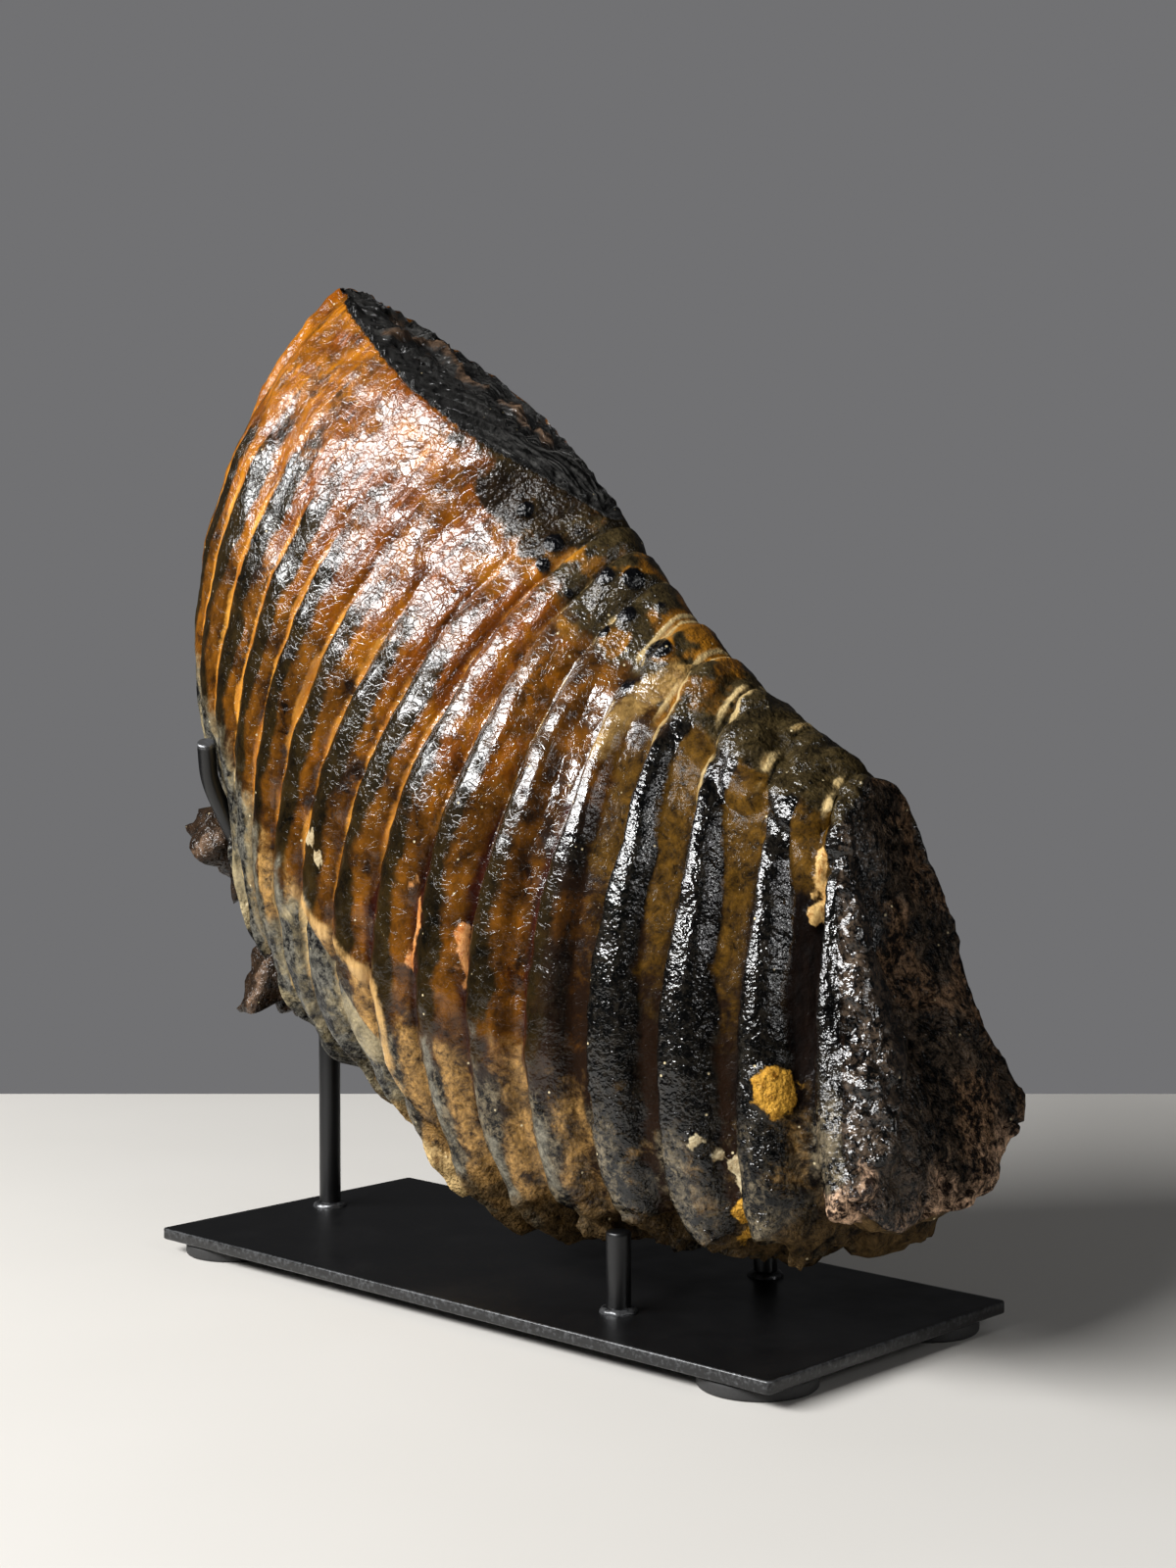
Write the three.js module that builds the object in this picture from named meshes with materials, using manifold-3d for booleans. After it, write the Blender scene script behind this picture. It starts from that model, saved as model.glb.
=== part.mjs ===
// Fossil mammoth molar on its steel stand. Millimetres, +Z up, +X along the base plate.
import * as THREE from 'three';
import Module from 'manifold-3d';

const wasm = await Module();
wasm.setup();
const { Manifold, Mesh: ManifoldMesh } = wasm;

// ---------------------------------------------------------------- stand sizes
const PLATE = { length: 225, width: 97.5, thick: 3.2, corner: 1.5, ease: 0.5 };
const FOOT = { radius: 14.5, thick: 3.5, round: 0.8, inX: 97, inY: 33.5 };
const ROD_RADIUS = 3.2;
const BEAD = { radius: 4.8, height: 0.9 };
const CLAW_RADIUS = 2.6;
const FIT_GAP = 0.3;
const POST_FRONT = { x: 47, y: -27, reach: 34 };
const POST_REAR = { x: 51, y: 27, reach: 34 };
const POST_LEFT = { x: -99, y: 4, reach: 92 };
const CLAW_PATH = [
  [-99, 4, 84], [-101, -7, 92], [-103.5, -18, 102], [-105, -26, 112], [-105.5, -31.5, 122],
  [-104.5, -36.5, 131], [-101, -40.5, 141],
];
const CLAW_CLEARANCE = 0.9;

// ---------------------------------------------------------------- tooth sizes
// The tooth is a row of plates. Plate number 0.8 is the back end, 18.6 the front end.
// Each station gives the plate's crown point (cx, cz), root point (rx, rz), forward bow,
// half widths at the crown, middle and root (wc, wm, wr) and sideways shift.
const STATIONS = [
  { p: 0.8, cx: 105, cz: 134, rx: 126, rz: 37, bow: 2, wc: 19, wm: 25, wr: 43, shift: 1 },
  { p: 2, cx: 88, cz: 144, rx: 99, rz: 19, bow: 0, wc: 20, wm: 35, wr: 39, shift: 1 },
  { p: 4, cx: 60, cz: 163, rx: 56, rz: 16, bow: 5, wc: 20, wm: 42, wr: 38, shift: 1 },
  { p: 7, cx: 31, cz: 190, rx: 0, rz: 16, bow: 18, wc: 19, wm: 47, wr: 36, shift: 2 },
  { p: 10, cx: 12, cz: 213, rx: -53, rz: 42, bow: 23, wc: 18, wm: 47, wr: 36, shift: 2 },
  { p: 13, cx: -14, cz: 256, rx: -86, rz: 70, bow: 23, wc: 21, wm: 45, wr: 34, shift: 0 },
  { p: 16, cx: -61, cz: 272, rx: -109, rz: 113, bow: 19, wc: 18, wm: 38, wr: 27, shift: 0 },
  { p: 18.6, cx: -78, cz: 273, rx: -110, rz: 156, bow: 10, wc: 12, wm: 26, wr: 17, shift: 0 },
];
const CROWN_POWER = 2.5;
const ROOT_POWER = 4.5;
const COLUMNS = 46;
const CROWDING = 0.15;
const END_ROWS = 5;
const END_BULGE = { back: 4, front: 12 };
const END_SPREAD = 0.6;

// Rib height in mm against plate number, and the share of the pitch the rib fills.
const RIB_HEIGHT = [[0.8, 6], [3, 6], [5, 4.8], [8, 3.4], [11, 2.4], [14, 1.4], [18.6, 0.8]];
const RIB_SHARE = [[0.8, 0.66], [4, 0.72], [7, 0.92], [18.6, 0.97]];
const RIB_CREST = 0.8;
const RIB_STEEP = 0.27;
const RIB_SAMPLES_DEEP = [0.08, 0.3, 0.52, 0.72, 0.9];
const RIB_SAMPLES_SHALLOW = [0.08, 0.45, 0.8];
const DEEP_RIBS = 8;
const RIB_TIP = { from: 0.12, to: 0.2 };
const WORN_FADE = { from: 0.05, to: 0.42, start: 8, full: 11 };
const KNOB = { height: 2.4, around: 11, reach: 0.17, lastPlate: 10 };
const CRUST = { height: 1.8, from: 0.9 };

// The worn face is a flat cut through the crown: z = height + slope * x.
const WORN = { height: 215.6, slope: -0.7, pit: 2.6, wave: 15, edge: 1.2 };

const ROOT_STUMPS = [
  { from: [-104, -8, 119], to: [-125, -20, 111], wide: 11, narrow: 9, sides: 9 },
  { from: [-82, -15, 92], to: [-96, -25, 66], wide: 11, narrow: 7, sides: 9 },
];
// Local swellings and hollows of the body: where, how far they reach, how high.
const SWELLINGS = [
  { at: [122, 38, 58], reach: 13, height: 6 },
  { at: [-103, -36, 124], reach: 15, height: -5 },
];
const END_FOLD = { height: 1.6, pitch: 24 };

// ---------------------------------------------------------------- small helpers
const clamp01 = (x) => Math.min(1, Math.max(0, x));
const smooth = (x) => clamp01(x) ** 2 * (3 - 2 * clamp01(x));
const signedPower = (x, e) => Math.sign(x) * Math.abs(x) ** e;

function spanIndex(knots, at) {
  let i = 0;
  while (i < knots.length - 2 && at > knots[i + 1]) i += 1;
  return i;
}

function slopeAt(knots, values, i) {
  const lo = Math.max(0, i - 1);
  const hi = Math.min(knots.length - 1, i + 1);
  return (values[hi] - values[lo]) / (knots[hi] - knots[lo]);
}

/** Smooth curve through the values at uneven knots. */
function curve(knots, values, at) {
  const i = spanIndex(knots, at);
  const h = knots[i + 1] - knots[i];
  const t = (at - knots[i]) / h;
  const a = 2 * t ** 3 - 3 * t ** 2 + 1;
  const b = t ** 3 - 2 * t ** 2 + t;
  const c = t ** 3 - t ** 2;
  return a * values[i] + b * h * slopeAt(knots, values, i) + (1 - a) * values[i + 1]
    + c * h * slopeAt(knots, values, i + 1);
}

const line = (pairs, at) => {
  const i = spanIndex(pairs.map((q) => q[0]), at);
  const [[x0, y0], [x1, y1]] = [pairs[i], pairs[i + 1]];
  return y0 + (y1 - y0) * clamp01((at - x0) / (x1 - x0));
};

const KNOTS = STATIONS.map((s) => s.p);
const station = (key, p) => curve(KNOTS, STATIONS.map((s) => s[key]), p);

// ---------------------------------------------------------------- tooth relief
/** Height of the rib profile, 0 in the groove and 1 on the crest. */
function ribProfile(p) {
  const share = line(RIB_SHARE, p);
  let d = p - Math.floor(p) - RIB_CREST;
  if (d < RIB_STEEP - 1) d += 1;
  const reach = d > 0 ? RIB_STEEP : Math.min(share, 1 - RIB_STEEP);
  const x = clamp01(1 - Math.abs(d) / reach);
  return Math.sqrt(1 - (1 - x) ** 2);
}

/** Rib relief for plate p at depth t (0 crown, 1 root). */
function ribRelief(p, t) {
  const tip = smooth((t - RIB_TIP.from) / (RIB_TIP.to - RIB_TIP.from));
  const worn = smooth((p - WORN_FADE.start) / (WORN_FADE.full - WORN_FADE.start));
  const fade = smooth((t - WORN_FADE.from) / (WORN_FADE.to - WORN_FADE.from));
  const shown = (1 - worn) * (0.35 + 0.65 * tip) + worn * fade;
  return line(RIB_HEIGHT, p) * (ribProfile(p) - 0.75) * shown;
}

/** Rounded knobs where the plates end at the unworn crown. */
function knobRelief(p, t, phi) {
  const inBand = smooth((KNOB.reach - t) / (0.6 * KNOB.reach));
  const unworn = smooth(KNOB.lastPlate - p);
  const around = Math.abs(Math.cos(phi * KNOB.around / 2 + 1.7 * Math.floor(p)));
  return KNOB.height * inBand * unworn * (around * ribProfile(p) - 0.5);
}

/** Broken crust along the bottom edge. */
function crustRelief(p, t, phi) {
  const inBand = smooth((t - CRUST.from) / (1 - CRUST.from));
  const lumps = Math.sin(7.3 * p + 3 * phi) + Math.sin(4.1 * p - 9 * phi) * 0.7;
  return CRUST.height * inBand * lumps;
}

// ---------------------------------------------------------------- tooth surface
/** A point of the plate outline p at angle phi (0 at the crown, turning over the -Y side). */
function outlinePoint(p, phi) {
  const [cx, cz, rx, rz] = ['cx', 'cz', 'rx', 'rz'].map((key) => station(key, p));
  const c = Math.cos(phi);
  const s = Math.sin(phi);
  const power = c > 0 ? CROWN_POWER : ROOT_POWER;
  const h = signedPower(c, 2 / power);
  const w = signedPower(s, 2 / power);
  const t = (1 - h) / 2;
  const half = station('wc', p) * (1 - t) * (1 - 2 * t) + station('wm', p) * 4 * t * (1 - t)
    + station('wr', p) * t * (2 * t - 1);
  const length = Math.hypot(rx - cx, rz - cz);
  const up = new THREE.Vector3((cx - rx) / length, 0, (cz - rz) / length);
  const forward = new THREE.Vector3(-up.z, 0, up.x);
  const bow = -4 * t * (1 - t) * station('bow', p);
  const point = new THREE.Vector3(cx, station('shift', p) - w * half, cz)
    .addScaledVector(up, -t * length).addScaledVector(forward, bow * -1);
  const normal = up.multiplyScalar(signedPower(h, power - 1) / length * 2);
  normal.y = -signedPower(w, power - 1) / half;
  return { point, normal: normal.normalize(), t };
}

const wornHeight = (x) => WORN.height + WORN.slope * x;
const WORN_NORMAL = new THREE.Vector3(-WORN.slope, 0, 1).normalize();

/** Hollows and ridges of the far half of the worn face. */
function wornHollow(point) {
  const along = point.x / WORN.wave;
  const far = smooth((point.y + 4) / 12);
  const pits = 0.5 + 0.5 * Math.sin(2 * Math.PI * along + point.y / 6);
  return WORN.pit * far * pits;
}

/** Cuts the point back to the worn face where it stands above it. */
function wearDown(point) {
  const above = (point.z - wornHeight(point.x)) * WORN_NORMAL.z;
  if (above > 0) {
    const edge = smooth(above / (3 * WORN.edge));
    point.addScaledVector(WORN_NORMAL, -above - wornHollow(point) * edge);
  }
  return point;
}

function swelling(point) {
  return SWELLINGS.reduce((sum, { at, reach, height }) => {
    const distance = point.distanceTo(new THREE.Vector3(...at));
    return sum + height * Math.exp(-((distance / reach) ** 2));
  }, 0);
}

function toothPoint(p, phi) {
  const { point, normal, t } = outlinePoint(p, phi);
  const relief = ribRelief(p, t) + knobRelief(p, t, phi) + crustRelief(p, t, phi);
  return point.addScaledVector(normal, relief + swelling(point));
}

function bodyRows() {
  const rows = [KNOTS[0]];
  for (let k = 1; k <= Math.floor(KNOTS.at(-1)); k += 1) {
    const samples = k < DEEP_RIBS ? RIB_SAMPLES_DEEP : RIB_SAMPLES_SHALLOW;
    rows.push(...samples.map((f) => k + f).filter((p) => p < KNOTS.at(-1) - 0.1));
  }
  rows.push(KNOTS.at(-1));
  return rows;
}

function loopAngles() {
  return Array.from({ length: COLUMNS }, (_, i) => {
    const u = i / COLUMNS;
    return 2 * Math.PI * u + CROWDING * Math.sin(4 * Math.PI * u);
  });
}

const centreOf = (loop) => loop.reduce((sum, q) => sum.add(q), new THREE.Vector3())
  .divideScalar(loop.length);

/** Rows that close one end: the end loop drawn in towards its middle while it bulges out. */
function endRows(loop, inner, bulge, fold = 0) {
  const middle = centreOf(loop);
  const outward = middle.clone().sub(centreOf(inner)).normalize();
  const rows = [];
  for (let k = 1; k <= END_ROWS; k += 1) {
    const turn = (k / (END_ROWS + 1)) * Math.PI / 2;
    const size = Math.cos(turn) ** END_SPREAD;
    rows.push(loop.map((q) => {
      const point = middle.clone().lerp(q, size);
      const folds = fold * Math.cos((2 * Math.PI * point.y) / END_FOLD.pitch) * Math.sin(turn);
      return point.addScaledVector(outward, bulge * Math.sin(turn) + folds);
    }));
  }
  return { rows, tip: middle.clone().addScaledVector(outward, bulge) };
}

function gridTriangles(rowCount) {
  const triangles = [];
  const at = (row, column) => row * COLUMNS + (column % COLUMNS);
  for (let row = 0; row < rowCount - 1; row += 1) {
    for (let i = 0; i < COLUMNS; i += 1) {
      const [a, b, c, d] = [at(row, i), at(row, i + 1), at(row + 1, i), at(row + 1, i + 1)];
      triangles.push(a, b, d, a, d, c);
    }
  }
  const first = rowCount * COLUMNS;
  for (let i = 0; i < COLUMNS; i += 1) {
    triangles.push(first, at(0, i + 1), at(0, i));
    triangles.push(first + 1, at(rowCount - 1, i), at(rowCount - 1, i + 1));
  }
  return triangles;
}

function solidFrom(points, triangles) {
  const mesh = new ManifoldMesh({
    numProp: 3,
    vertProperties: Float32Array.from(points.flatMap((q) => [q.x, q.y, q.z])),
    triVerts: Uint32Array.from(triangles),
  });
  const solid = new Manifold(mesh);
  return solid.volume() > 0 ? solid : new Manifold(flipped(mesh));
}

function flipped(mesh) {
  const turned = Uint32Array.from(mesh.triVerts);
  for (let i = 0; i < turned.length; i += 3) {
    [turned[i + 1], turned[i + 2]] = [turned[i + 2], turned[i + 1]];
  }
  return new ManifoldMesh({ numProp: 3, vertProperties: mesh.vertProperties, triVerts: turned });
}

function toothBody() {
  const angles = loopAngles();
  const body = bodyRows().map((p) => angles.map((phi) => toothPoint(p, phi)));
  const back = endRows(body[0], body[3], END_BULGE.back, END_FOLD.height);
  const front = endRows(body.at(-1), body.at(-4), END_BULGE.front);
  const rows = [...back.rows.reverse(), ...body, ...front.rows];
  const points = [...rows.flat(), back.tip, front.tip].map(wearDown);
  return solidFrom(points, gridTriangles(rows.length));
}

/** A broken root stump: a tapering, lumpy stub with a slanting end. */
function rootStump({ from, to, wide, narrow, sides }) {
  const start = new THREE.Vector3(...from);
  const axis = new THREE.Vector3(...to).sub(start);
  const length = axis.length();
  axis.normalize();
  const across = new THREE.Vector3(0, 1, 0).cross(axis).normalize();
  const along = axis.clone().cross(across);
  const rings = [[0, wide], [0.45, wide * 0.8], [0.8, narrow * 1.15], [1, narrow]];
  const points = rings.flatMap(([share, radius], ring) => Array.from({ length: sides }, (_, i) => {
    const turn = (i / sides) * 2 * Math.PI;
    const lump = 1 + 0.18 * Math.sin(3 * turn + ring) + 0.1 * Math.cos(5 * turn + 2 * ring);
    const slant = share === 1 ? 4 * Math.sin(turn + 1) + 1.5 * Math.cos(3 * turn) : 0;
    return start.clone().addScaledVector(axis, share * length + slant)
      .addScaledVector(across, radius * lump * Math.cos(turn))
      .addScaledVector(along, radius * lump * Math.sin(turn));
  }));
  return Manifold.hull(points.map((q) => [q.x, q.y, q.z]));
}

/** The whole tooth, with the notch the claw passes through. */
function toothSolid() {
  const whole = ROOT_STUMPS.reduce((tooth, stump) => tooth.add(rootStump(stump)), toothBody());
  const notched = whole.subtract(manifoldOf(clawBar(CLAW_RADIUS + CLAW_CLEARANCE)));
  return largest(notched);
}

const largest = (solid) => solid.decompose().sort((a, b) => b.volume() - a.volume())[0];

// ---------------------------------------------------------------- stand
function roundedOutline(length, width, radius, steps = 3) {
  const shape = new THREE.Shape();
  const corners = [[1, -1, -90], [1, 1, 0], [-1, 1, 90], [-1, -1, 180]];
  corners.forEach(([sx, sy, start], k) => {
    for (let i = 0; i <= steps; i += 1) {
      const turn = THREE.MathUtils.degToRad(start + (90 * i) / steps);
      const x = sx * (length / 2 - radius) + radius * Math.cos(turn);
      const y = sy * (width / 2 - radius) + radius * Math.sin(turn);
      if (k + i === 0) shape.moveTo(x, y);
      else shape.lineTo(x, y);
    }
  });
  return shape;
}

function basePlate() {
  const { length, width, thick, corner, ease } = PLATE;
  const outline = roundedOutline(length - 2 * ease, width - 2 * ease, corner);
  const plate = new THREE.ExtrudeGeometry(outline, {
    depth: thick - 2 * ease, bevelEnabled: true, bevelSegments: 1, bevelSize: ease,
    bevelThickness: ease, steps: 1,
  });
  return plate.translate(0, 0, ease - thick);
}

function foot(sx, sy) {
  const { radius, thick, round, inX, inY } = FOOT;
  const profile = [[0, 0], [radius - round, 0], [radius, round], [radius, thick], [0, thick]]
    .map(([r, z]) => new THREE.Vector2(r, z));
  return new THREE.LatheGeometry(profile, 24).rotateX(Math.PI / 2)
    .translate(sx * inX, sy * inY, -PLATE.thick - thick - FIT_GAP);
}

/** Straight round post with its weld bead, standing on the plate's top. */
function postProfile(reach) {
  return [[0, 0], [BEAD.radius, 0], [BEAD.radius - 0.4, BEAD.height * 0.6],
    [ROD_RADIUS, BEAD.height * 1.6], [ROD_RADIUS, reach], [0, reach]]
    .map(([r, z]) => new THREE.Vector2(r, z));
}

function post({ x, y, reach }) {
  return new THREE.LatheGeometry(postProfile(reach), 16).rotateX(Math.PI / 2)
    .translate(x, y, FIT_GAP);
}

/** Round bar bent along the claw's path. */
function clawBar(radius) {
  const path = new THREE.CatmullRomCurve3(CLAW_PATH.map((q) => new THREE.Vector3(...q)));
  const section = new THREE.Shape().absarc(0, 0, radius, 0, 2 * Math.PI);
  return new THREE.ExtrudeGeometry(section, { steps: 12, curveSegments: 5, extrudePath: path });
}

// ---------------------------------------------------------------- solids to meshes
function manifoldOf(geometry) {
  const seen = new Map();
  const points = [];
  const positions = geometry.getAttribute('position');
  const index = geometry.index ? Array.from(geometry.index.array)
    : Array.from({ length: positions.count }, (_, i) => i);
  const merged = index.map((i) => {
    const q = new THREE.Vector3().fromBufferAttribute(positions, i);
    const key = q.toArray().map((v) => Math.round(v * 1e4)).join();
    if (!seen.has(key)) { seen.set(key, points.length); points.push(q); }
    return seen.get(key);
  });
  const triangles = [];
  for (let i = 0; i < merged.length; i += 3) {
    const [a, b, c] = merged.slice(i, i + 3);
    if (a !== b && b !== c && c !== a) triangles.push(a, b, c);
  }
  return solidFrom(points, triangles);
}

function meshFrom(solid, name, material) {
  const { vertProperties, triVerts, numProp } = solid.getMesh();
  const positions = [];
  for (let i = 0; i < vertProperties.length; i += numProp) {
    positions.push(vertProperties[i], vertProperties[i + 1], vertProperties[i + 2]);
  }
  const geometry = new THREE.BufferGeometry();
  geometry.setAttribute('position', new THREE.Float32BufferAttribute(positions, 3));
  geometry.setIndex(Array.from(triVerts));
  geometry.computeVertexNormals();
  const mesh = new THREE.Mesh(geometry, material);
  mesh.name = name;
  return mesh;
}

/** The part of a post or claw that stays outside the tooth, with the fitting gap left. */
function outside(solid, tooth) {
  const moves = [[0, 0, 0], [-FIT_GAP, 0, 0], [0, -FIT_GAP, 0], [0, 0, -FIT_GAP]];
  const kept = moves.reduce((rest, move) => rest.subtract(tooth.translate(move)), solid);
  return largest(kept);
}

const FOSSIL = new THREE.MeshStandardMaterial({ color: 0x4a3020, roughness: 0.3 });
FOSSIL.name = 'varnished_fossil';
const STEEL = new THREE.MeshStandardMaterial({ color: 0x111113, roughness: 0.5, metalness: 0 });
STEEL.name = 'black_painted_steel';
const RUBBER = new THREE.MeshStandardMaterial({ color: 0x0b0b0b, roughness: 0.9 });
RUBBER.name = 'black_rubber';

function build() {
  const object = new THREE.Group();
  const tooth = toothSolid();
  object.add(meshFrom(tooth, 'tooth', FOSSIL));
  object.add(meshFrom(manifoldOf(basePlate()), 'base_plate', STEEL));
  const posts = { post_left: POST_LEFT, post_front_right: POST_FRONT, post_rear_right: POST_REAR };
  const leftPost = manifoldOf(post(POST_LEFT));
  for (const [name, sizes] of Object.entries(posts)) {
    object.add(meshFrom(outside(manifoldOf(post(sizes)), tooth), name, STEEL));
  }
  const hook = manifoldOf(clawBar(CLAW_RADIUS)).subtract(leftPost);
  object.add(meshFrom(outside(hook, tooth), 'claw', STEEL));
  for (const [name, sx, sy] of [['foot_front_left', -1, -1], ['foot_front_right', 1, -1],
    ['foot_rear_left', -1, 1], ['foot_rear_right', 1, 1]]) {
    object.add(meshFrom(manifoldOf(foot(sx, sy)), name, RUBBER));
  }
  return centred(object);
}

/** Moves everything so the origin is the middle of the underside. */
function centred(object) {
  const box = new THREE.Box3().setFromObject(object);
  const middle = box.getCenter(new THREE.Vector3());
  for (const mesh of object.children) {
    mesh.geometry.translate(-middle.x, -middle.y, -box.min.z);
  }
  return object;
}

const group = build();
export default group;
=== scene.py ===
"""Looks of the fossil mammoth tooth and its steel stand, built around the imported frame."""

import itertools
import logging
import math
from dataclasses import dataclass
from enum import Enum

import bpy
import numpy as np
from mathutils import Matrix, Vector


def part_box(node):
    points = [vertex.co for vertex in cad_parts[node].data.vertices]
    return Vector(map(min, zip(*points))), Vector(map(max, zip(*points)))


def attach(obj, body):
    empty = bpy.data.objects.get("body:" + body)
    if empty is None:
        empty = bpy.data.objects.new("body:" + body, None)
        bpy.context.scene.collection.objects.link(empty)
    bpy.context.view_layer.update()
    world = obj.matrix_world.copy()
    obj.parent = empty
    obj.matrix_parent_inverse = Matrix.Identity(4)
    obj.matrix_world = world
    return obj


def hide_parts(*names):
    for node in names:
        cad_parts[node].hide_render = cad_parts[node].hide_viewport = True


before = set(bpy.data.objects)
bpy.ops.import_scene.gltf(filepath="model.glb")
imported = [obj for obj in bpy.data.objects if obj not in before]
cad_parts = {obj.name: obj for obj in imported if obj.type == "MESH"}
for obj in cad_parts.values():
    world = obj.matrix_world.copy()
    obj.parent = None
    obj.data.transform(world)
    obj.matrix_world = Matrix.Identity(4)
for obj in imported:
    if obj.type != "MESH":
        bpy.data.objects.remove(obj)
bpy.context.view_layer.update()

MM = 0.001
PLATE_LOW, PLATE_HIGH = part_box("base_plate")
ORIGIN = np.array([(PLATE_LOW.x + PLATE_HIGH.x) / 2, (PLATE_LOW.y + PLATE_HIGH.y) / 2,
                   PLATE_HIGH.z])
LOG = logging.getLogger("fossil_tooth")
Array = np.ndarray
Socket = bpy.types.NodeSocket
Tree = bpy.types.NodeTree

# Odd constants that mix a cell's whole numbers into one 32-bit random number.
AXIS_HASH = (73856093, 19349663, 83492791)
SEED_HASH = 2654435761
MIX_HASH = ((15, 2246822519), (13, 3266489917))
LAST_SHIFT = 16
WORD = 0xFFFFFFFF
# Each finer layer of a field is moved on by this many cells, so that no two line up.
OCTAVE_STEP = 17.3


# ------------------------------------------------------------------ numbers and fields
def smooth(x: Array | float) -> Array | float:
    """Smooth step from 0 to 1 while x goes from 0 to 1."""
    x = np.clip(x, 0.0, 1.0)
    return x * x * (3.0 - 2.0 * x)


def bell(x: Array, middle: float | Array, width: float) -> Array:
    """1 where x is at the middle, and about a third where it is that width away."""
    return np.exp(-(((x - middle) / width) ** 2))


def signed_power(x: Array, exponent: float | Array) -> Array:
    """Power that keeps the sign."""
    return np.sign(x) * np.abs(x) ** exponent


def curve(knots: Array, values: Array, at: Array) -> Array:
    """Smooth curve through values at uneven knots.

    Args:
        knots: rising places of the values.
        values: one value for each knot.
        at: places to read.

    Returns:
        The curve at those places.
    """
    knots, values = np.asarray(knots, float), np.asarray(values, float)
    last = len(knots) - 1
    low, high = np.maximum(np.arange(last + 1) - 1, 0), np.minimum(np.arange(last + 1) + 1, last)
    slope = (values[high] - values[low]) / (knots[high] - knots[low])
    i = np.clip(np.searchsorted(knots, at) - 1, 0, last - 1)
    span = knots[i + 1] - knots[i]
    t = (at - knots[i]) / span
    start = 2 * t**3 - 3 * t**2 + 1
    leave = (t**3 - 2 * t**2 + t) * span
    arrive = (t**3 - t**2) * span
    return (start * values[i] + leave * slope[i] + (1 - start) * values[i + 1]
            + arrive * slope[i + 1])


def lattice(cell: Array, seed: int) -> Array:
    """Repeatable random number for each cell of a grid.

    Args:
        cell: whole numbers of the cells along x, y and z.
        seed: number of this set of random numbers.

    Returns:
        A number from -1 to 1 for each cell.
    """
    mixed = (cell[..., 0] * AXIS_HASH[0] ^ cell[..., 1] * AXIS_HASH[1]
             ^ cell[..., 2] * AXIS_HASH[2])
    mixed = (mixed ^ seed * SEED_HASH) & WORD
    for shift, factor in MIX_HASH:
        mixed = (mixed ^ (mixed >> shift)) * factor & WORD
    return (mixed ^ (mixed >> LAST_SHIFT)) / (WORD / 2) - 1.0


def field(points: Array, size: float, seed: int, octaves: int = 1) -> Array:
    """Smooth random field from about -1 to 1.

    Args:
        points: places in mm.
        size: width of the largest features in mm.
        seed: number of this field.
        octaves: how many finer layers are added, each half as wide and half as strong.

    Returns:
        One number for each place.
    """
    total = np.zeros(points.shape[:-1])
    for octave in range(octaves):
        place = points * (2.0**octave / size) + OCTAVE_STEP * octave
        cell = np.floor(place).astype(np.int64)
        part = place - cell
        part = part * part * (3.0 - 2.0 * part)
        for corner in itertools.product((0, 1), repeat=3):
            weight = np.prod(np.where(corner, part, 1.0 - part), axis=-1)
            total += weight * lattice(cell + np.array(corner), seed + octave) * 0.5**octave
    return total


def cells(points: Array, size: float, seed: int, jitter: float = 0.42) -> tuple[Array, Array]:
    """Distances to the two nearest of scattered points.

    Args:
        points: places in mm.
        size: mean spacing of the scattered points in mm.
        seed: number of this scatter.
        jitter: how far a scattered point strays from its cell's middle, in cell widths.

    Returns:
        Distance to the nearest and to the second nearest, in cell widths.
    """
    place = points / size
    cell = np.floor(place).astype(np.int64)
    nearest = np.full(points.shape[:-1], np.inf)
    second = nearest.copy()
    for step in itertools.product((-1, 0, 1), repeat=3):
        home = cell + np.array(step)
        stray = np.stack([lattice(home, seed + axis) for axis in range(3)], axis=-1)
        gap = np.linalg.norm(home + 0.5 + jitter * stray - place, axis=-1)
        second = np.minimum(second, np.maximum(gap, nearest))
        nearest = np.minimum(nearest, gap)
    return nearest, second


def bumps(points: Array, places: tuple) -> Array:
    """Rounded spots: the largest of the domes that stand at the given places.

    Args:
        points: places in mm.
        places: tuples of x, y, z and the dome's reach in mm.

    Returns:
        Dome height from 0 to 1 for each point.
    """
    height = np.zeros(points.shape[:-1])
    for *at, reach in places:
        gap = np.linalg.norm(points - np.array(at), axis=-1) / reach
        height = np.maximum(height, np.sqrt(np.clip(1.0 - gap**2, 0.0, 1.0)))
    return height


def cones(points: Array, places: tuple) -> Array:
    """Spots that fade evenly at their edge.

    Args:
        points: places in mm.
        places: tuples of x, y, z and the spot's reach in mm.

    Returns:
        1 well inside a spot's reach, 0 a little beyond it, for each point.
    """
    height = np.zeros(points.shape[:-1])
    for *at, reach in places:
        gap = np.linalg.norm(points - np.array(at), axis=-1) / reach
        height = np.maximum(height, np.clip(2.4 - 1.8 * gap, 0.0, 1.0))
    return height


def distance_to_path(point: Array, path: Array) -> Array:
    """Distance from points to a bent line.

    Args:
        point: places in mm.
        path: the line's corners in mm.

    Returns:
        Distance in mm from each point to the line.
    """
    nearest = np.full(point.shape[:-1], np.inf)
    for start, end in zip(path[:-1], path[1:]):
        run = end - start
        share = np.clip(((point - start) @ run) / (run @ run), 0, 1)
        gap = np.linalg.norm(point - start - share[..., None] * run, axis=-1)
        nearest = np.minimum(nearest, gap)
    return nearest


def trail(points: Array, path: tuple, width: float, core: float) -> Array:
    """Mask of a streak along a path.

    Args:
        points: places in mm.
        path: corners of the path in mm.
        width: distance in mm over which the mask falls by 1.
        core: the mask's value on the path before it is cut to 1.

    Returns:
        Mask from 0 to 1 for each point.
    """
    return np.clip(core - distance_to_path(points, np.array(path)) / width, 0, 1)


# ------------------------------------------------------------------ tooth form
@dataclass
class Surface:
    """Grid of surface points with the plate, angle, depth and end share of each."""

    point: Array
    plate: Array
    angle: Array
    depth: Array
    end: Array


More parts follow.
